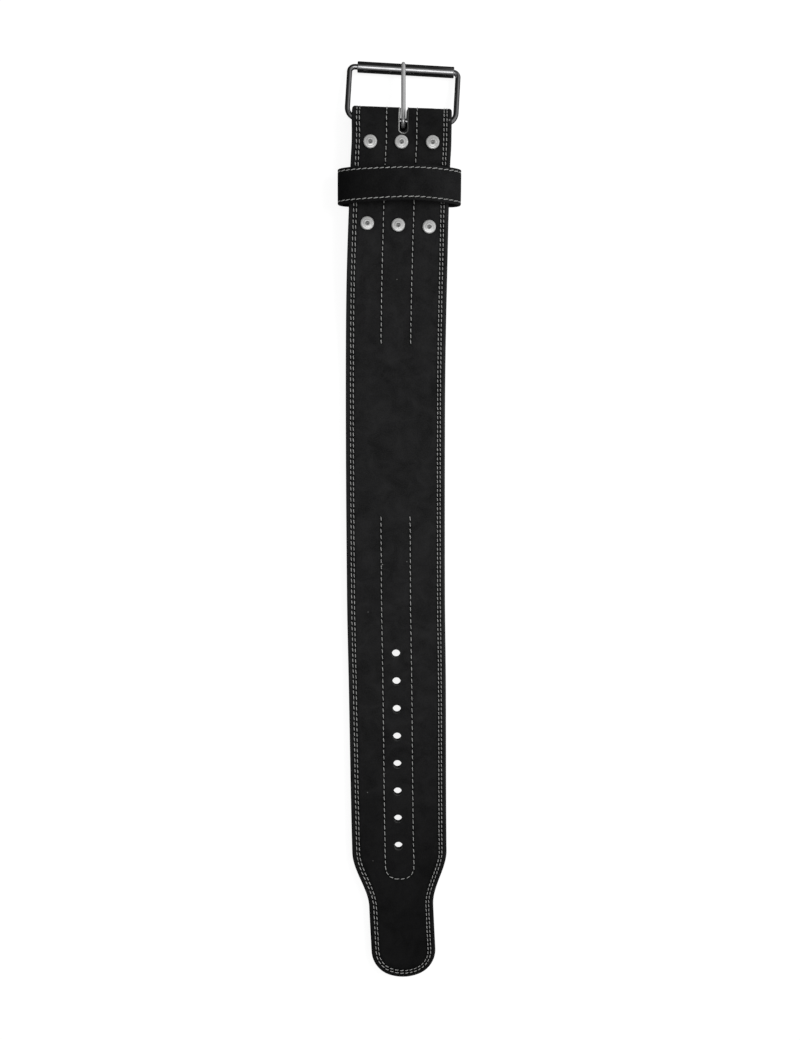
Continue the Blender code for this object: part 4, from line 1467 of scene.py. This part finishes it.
def thread_material():
    """Waxed two-ply thread: a twist that follows each stitch, a little dirt, and painted shade in
    the grooves of the twist.
    """
    settings = bpy.context.scene.belt_thread
    material, tree, shader = new_material("thread")
    place = add_node(tree, "ShaderNodeUVMap", {"uv_map": "thread"})
    turned = add_node(tree, "ShaderNodeMapping", None, Vector=place.outputs[0],
                      Scale=(5.0, 2.0, 1.0))
    parts = add_node(tree, "ShaderNodeSeparateXYZ", None, Vector=turned.outputs[0])
    twist = maths(tree, 'PINGPONG', maths(tree, 'ADD', *parts.outputs[:2]), 0.5)
    spot = add_node(tree, "ShaderNodeTexCoord").outputs["Object"]
    dirt = add_node(tree, "ShaderNodeTexNoise", None, Vector=spot, Scale=420.0, Detail=3.0)
    dirt_and_twist_shade = tint(settings.colour, 0.45)
    shade = ramp(tree, dirt.outputs[0], 0.40, 0.66, 0.0, 0.55)
    tone = blend(tree, shade, tint(settings.colour), dirt_and_twist_shade)
    # painted shade: the grooves between the plies are darkened
    twist_shade = ramp(tree, twist, 0.0, 0.16, 0.45, 0.0)
    tree.links.new(blend(tree, twist_shade, tone, dirt_and_twist_shade), shader.inputs["Base Color"])
    tree.links.new(ramp(tree, dirt.outputs[0], 0.3, 0.7, 0.5, 0.8), shader.inputs["Roughness"])
    add_bump(tree, shader, twist, 0.8, 0.0002)
    return material


def metal_material(name, colour, gloss, dull, scratch_scale, cloud, mirror=1.0):
    """Plated metal with fine scratches, a faint film and painted shade where its mesh marks it.

    gloss and dull are its roughness where it is clean and where it is filmed, cloud is the share
    of its brightness that the film leaves, and mirror is 1 for bright plating.
    """
    material, tree, shader = new_material(name)
    scuffs = place_group(tree, "metal scuffs", Scratch_Scale=scratch_scale)
    scratches, film = scuffs.outputs["Scratches"], scuffs.outputs["Film"]
    plate = blend(tree, film, tint(colour), tint(colour, cloud))
    # painted shade where the mesh marks it, on the rivets' heads
    tree.links.new(blend(tree, attribute(tree, "soil"), plate, tint(colour, 0.12)),
                   shader.inputs["Base Color"])
    shader.inputs["Metallic"].default_value = mirror
    base = ramp(tree, film, 0.0, 1.0, gloss, dull)
    tree.links.new(maths(tree, 'MULTIPLY_ADD', scratches, 0.10, base),
                   shader.inputs["Roughness"])
    add_bump(tree, shader, scratches, 0.12, 0.0001)
    return material


def finish_piece(item, body, materials, nodes=()):
    """Gives a piece its materials, its body and the nodes that it stands for."""
    if not item.data.materials:
        for name in materials:
            item.data.materials.append(bpy.data.materials[name])
    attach(item, body)
    if nodes:
        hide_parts(*nodes)


class BELT_OT_finishes(bpy.types.Operator):
    """Makes the shared node groups and the materials"""
    bl_idname = "belt.finishes"
    bl_label = "Finishes"

    def execute(self, context):
        nap_group()
        scuff_group()
        leather = context.scene.belt_leather
        suede_material("brushed_suede", leather.colour, leather.worn_colour)
        # keeper with painted shade on its left
        suede_material("keeper_suede", leather.keeper_colour, leather.worn_colour,
                       left_shade=0.60)
        cut_material("cut_leather", leather.cut_colour)
        cut_material("raw_rim", leather.rim_colour_and_highlight)
        thread_material()
        metal = context.scene.belt_metal
        metal_material("chrome_plate", metal.chrome_colour, gloss=0.10, dull=0.20,
                       scratch_scale=420.0, cloud=0.88)
        metal_material("prong_plate", metal.prong_colour, gloss=0.10, dull=0.16,
                       scratch_scale=420.0, cloud=0.94, mirror=0.65)
        metal_material("nickel_plate", metal.nickel_colour, gloss=0.22, dull=0.34,
                       scratch_scale=520.0, cloud=0.82, mirror=0.55)
        return {'FINISHED'}


class BELT_OT_strap(bpy.types.Operator):
    """Makes the folded leather strap with its holes, slot and worn edges"""
    bl_idname = "belt.strap"
    bl_label = "Strap"

    def execute(self, context):
        strap = new_mesh_object("strap_leather", build_strap())
        strap.data.materials.append(bpy.data.materials["brushed_suede"])
        cut_strap(strap)
        finish_piece(strap, "belt", (), ["belt_strap"])
        rim = new_mesh_object("slot_rim", build_slot_rim())
        finish_piece(rim, "belt", ["raw_rim"])
        return {'FINISHED'}


def slot_rim_path():
    """Raw rim of the slot on the face: down its left side, round its point and up its right."""
    half, blunt = SLOT_WIDTH / 2, SLOT_TIP / 2
    centre = FRAME_SIDE + PRONG_SIDE
    start, knee = -0.36 * BEND_LENGTH, SLOT_LENGTH - SLOT_POINT
    steps, point_steps = 22, 4
    end = SLOT_LENGTH + 0.0003
    right = [(start + (knee - start) * i / steps, half) for i in range(steps)]
    for i in range(point_steps + 1):
        share = i / point_steps
        right.append((knee + SLOT_POINT * share, half + (blunt - half) * share))
    line = [(a, -s) for a, s in right] + [(end, 0.0)] + right[::-1]
    return [on_leather(a, s + centre, -RIM_SINK) for a, s in line]


def build_slot_rim():
    """Bead of raw leather along the rim, pale on its left as a painted highlight and darkened on
    its right by painted shade.
    """
    points = slot_rim_path()
    frames = frames_along(points, Vector((0.3, 0.2, 1.0)))     # along no part of the path
    work = swept_wire([(m, 1.0) for m in frames], RIM_BEAD, 8)
    soil = work.verts.layers.float.new("soil")
    middle = prong_place().translation.x
    for vert in work.verts:
        # painted shade, growing towards the rim's right side
        vert[soil] = RIM_SHADE * ease(0.5 + (vert.co.x - middle) / SLOT_WIDTH)
    return work


class BELT_OT_stitching(bpy.types.Operator):
    """Sews the edge rows and the middle rows of the strap"""
    bl_idname = "belt.stitching"
    bl_label = "Stitching"

    def execute(self, context):
        thread = context.scene.belt_thread
        template = stitch_template()
        draw = random.Random(7)
        covered = FOLD_BACK_LENGTH + 0.004      # the fold-back hides the back's rows to here
        edge = bmesh.new()
        for inset in (thread.outer_row, thread.inner_row):
            path = row_path(inset)
            tip = len(path) // 2
            for half, pitch in ((path[:tip + 1], thread.right_pitch),
                                (path[tip:], thread.left_pitch)):
                sew(edge, template, half, on_leather, pitch, draw)
                under = [p for p in half if p[0] > covered]
                sew(edge, template, under, on_back, pitch, draw)
        edge_item = new_mesh_object("edge_stitching", edge)
        finish_piece(edge_item, "belt", ["thread"])
        middle = bmesh.new()
        start, end = MIDDLE_ROWS[0]
        for side in (-thread.middle_row, thread.middle_row):
            path = middle_row_path(side, start, end)
            sew(middle, template, path, on_leather, thread.pitch, draw)
        sew(middle, template, middle_line(), on_leather, thread.lower_pitch, draw)
        middle_item = new_mesh_object("middle_stitching", middle)
        finish_piece(middle_item, "belt", ["thread"])
        bpy.data.meshes.remove(template)
        return {'FINISHED'}


class BELT_OT_keeper(bpy.types.Operator):
    """Makes the domed keeper loop and sews its two rows"""
    bl_idname = "belt.keeper"
    bl_label = "Keeper"

    def execute(self, context):
        keeper = new_mesh_object("keeper_leather", build_keeper_band())
        keeper.data.set_sharp_from_angle(angle=math.radians(50))
        finish_piece(keeper, "belt", ["keeper_suede"], ["keeper_loop"])
        thread = context.scene.belt_thread
        template = stitch_template()
        draw = random.Random(11)
        work = bmesh.new()
        row = KEEPER_WIDTH / 2 - thread.keeper_row
        hidden = 14                 # steps on each side of the back's middle, in the fold
        for across in (-row, row):
            path = [(i / KEEPER_RINGS, across) for i in range(hidden, KEEPER_RINGS - hidden + 1)]
            sew(work, template, path, keeper_point, thread.pitch, draw, lean=0.16, fill=0.82)
        item = new_mesh_object("keeper_stitching", work)
        finish_piece(item, "belt", ["thread"])
        bpy.data.meshes.remove(template)
        return {'FINISHED'}


class BELT_OT_rivets(bpy.types.Operator):
    """Makes the six tubular rivets"""
    bl_idname = "belt.rivets"
    bl_label = "Rivets"

    def execute(self, context):
        for i, (along, side) in enumerate(rivet_places()):
            work = build_rivet_head(on_leather(along, side, 0))
            rivet = new_mesh_object(f"rivet_head_{i + 1}", work)
            rivet.data.set_sharp_from_angle(angle=math.radians(45))
            finish_piece(rivet, "belt", ["nickel_plate"], [f"rivet_{i + 1}"])
        return {'FINISHED'}


class BELT_OT_buckle(bpy.types.Operator):
    """Makes the buckle's frame, roller and prong"""
    bl_idname = "belt.buckle"
    bl_label = "Buckle"

    def execute(self, context):
        for name, body, work, node, material in (
            ("frame_wire", "frame", build_frame_wire(), "buckle_frame", "chrome_plate"),
            ("roller_tube", "roller", build_roller_tube(), "buckle_roller", "chrome_plate"),
            ("prong_wire", "prong", build_prong_wire(), "buckle_prong", "prong_plate"),
        ):
            item = new_mesh_object(name, work)
            item.data.set_sharp_from_angle(angle=math.radians(45))
            finish_piece(item, body, [material], [node])
        return {'FINISHED'}


class BELT_OT_stage(bpy.types.Operator):
    """Makes the pale floor, the studio light and the camera"""
    bl_idname = "belt.stage"
    bl_label = "Stage"

    def execute(self, context):
        settings = context.scene.belt_stage
        floor_work = bmesh.new()
        bmesh.ops.create_grid(floor_work, x_segments=1, y_segments=1, size=FLOOR_HALF)
        bmesh.ops.translate(floor_work, verts=floor_work.verts, vec=(0, 0, -FLOOR_DROP))
        floor = new_mesh_object("floor", floor_work)
        material, tree, shader = new_material("floor")
        shader.inputs["Roughness"].default_value = 0.9
        shader.inputs["Specular IOR Level"].default_value = 0.0
        shader.inputs["Emission Color"].default_value = (1, 1, 1, 1)
        ray = add_node(tree, "ShaderNodeLightPath")
        tree.links.new(ramp(tree, ray.outputs["Is Camera Ray"], 0.0, 1.0, FLOOR_BOUNCE,
                            settings.floor_glow), shader.inputs["Emission Strength"])
        tree.links.new(blend(tree, ray.outputs["Is Glossy Ray"], tint(settings.floor_colour),
                             grey(0.01)), shader.inputs["Base Color"])
        floor.data.materials.append(material)
        add_softbox("overhead_light", OVERHEAD_PLACE, OVERHEAD_SIZE, settings.overhead_power)
        key = add_softbox("key_light", KEY_PLACE, KEY_SIZE, settings.key_power)
        key.visible_glossy = False
        add_surroundings()
        add_camera()
        context.scene.view_settings.view_transform = 'Standard'
        return {'FINISHED'}


def add_softbox(name, place, size, power):
    """Square area light aimed at the belt's middle."""
    light = bpy.data.lights.new(name, 'AREA')
    light.shape = 'SQUARE'
    light.size = size
    light.energy = power
    item = bpy.data.objects.new(name, light)
    item.location = place
    item.rotation_euler = (-Vector(place)).to_track_quat('-Z', 'Y').to_euler()
    bpy.context.scene.collection.objects.link(item)
    return item


def add_surroundings():
    """Studio round the belt: soft light from the right, dark walls, pale to the camera.

    The plating mirrors the dark walls, a paler wall on the right and the glow overhead.
    """
    world = bpy.data.worlds.new("studio")
    bpy.context.scene.world = world
    world.use_nodes = True
    tree = world.node_tree
    back = tree.nodes["Background"]
    way = add_node(tree, "ShaderNodeTexCoord").outputs["Generated"]
    parts = add_node(tree, "ShaderNodeSeparateXYZ", None, Vector=way)
    soft = blend(tree, ramp(tree, parts.outputs[0], -1.0, 1.0, 0.0, 1.0), grey(0.34), grey(0.62))
    walls = blend(tree, ramp(tree, parts.outputs[0], 0.05, 0.60, 0.0, 1.0), grey(0.015),
                  grey(0.26))
    over = add_node(tree, "ShaderNodeVectorMath", {"operation": 'DOT_PRODUCT'}, n0=way,
                    n1=(0.0, -0.22, 0.975))
    glow = ramp(tree, over.outputs["Value"], 0.66, 0.96, 0.0, 1.0)
    mirrored = blend(tree, glow, walls, grey(0.32))
    ray = add_node(tree, "ShaderNodeLightPath")
    studio = blend(tree, ray.outputs["Is Glossy Ray"], soft, mirrored)
    tree.links.new(blend(tree, ray.outputs["Is Camera Ray"], studio, grey(0.99)),
                   back.inputs["Color"])


def add_camera():
    """Camera over the belt's face, tilted a little towards its tip."""
    camera = bpy.data.cameras.new("camera")
    camera.lens = CAMERA_LENS
    camera.sensor_width = SENSOR
    camera.clip_start, camera.clip_end = 0.01, 50.0
    item = bpy.data.objects.new("camera", camera)
    back = Vector((0, math.sin(CAMERA_TILT), math.cos(CAMERA_TILT)))
    right = Vector((1, 0, 0))
    item.matrix_world = (Matrix.Translation(CAMERA_AIM + back * CAMERA_DISTANCE)
                         @ Matrix((right, back.cross(right), back)).transposed().to_4x4())
    bpy.context.scene.collection.objects.link(item)
    bpy.context.scene.camera = item


class BELT_PT_panel(bpy.types.Panel):
    """Lists the belt's pieces and their settings"""
    bl_label = "Weightlifting Belt"
    bl_idname = "BELT_PT_panel"
    bl_space_type = 'VIEW_3D'
    bl_region_type = 'UI'
    bl_category = "Belt"

    def draw(self, context):
        for step in STEPS:
            self.layout.operator(step.bl_idname)
        for name, group in SETTINGS.items():
            box = self.layout.box()
            for key in group.__annotations__:
                box.prop(getattr(context.scene, name), key)


STEPS = (BELT_OT_finishes, BELT_OT_strap, BELT_OT_stitching, BELT_OT_keeper, BELT_OT_rivets,
         BELT_OT_buckle, BELT_OT_stage)
SETTINGS = {
    "belt_leather": LeatherSettings,
    "belt_thread": ThreadSettings,
    "belt_metal": MetalSettings,
    "belt_stage": StageSettings,
}


def register():
    for name, group in SETTINGS.items():
        bpy.utils.register_class(group)
        setattr(bpy.types.Scene, name, bpy.props.PointerProperty(type=group))
    for item in (*STEPS, BELT_PT_panel):
        bpy.utils.register_class(item)


def unregister():
    for item in reversed((*STEPS, BELT_PT_panel)):
        bpy.utils.unregister_class(item)
    for name, group in SETTINGS.items():
        delattr(bpy.types.Scene, name)
        bpy.utils.unregister_class(group)


def main():
    register()
    bpy.ops.belt.finishes()
    bpy.ops.belt.strap()
    bpy.ops.belt.stitching()
    bpy.ops.belt.keeper()
    bpy.ops.belt.rivets()
    bpy.ops.belt.buckle()
    bpy.ops.belt.stage()


if __name__ == "__main__":
    main()
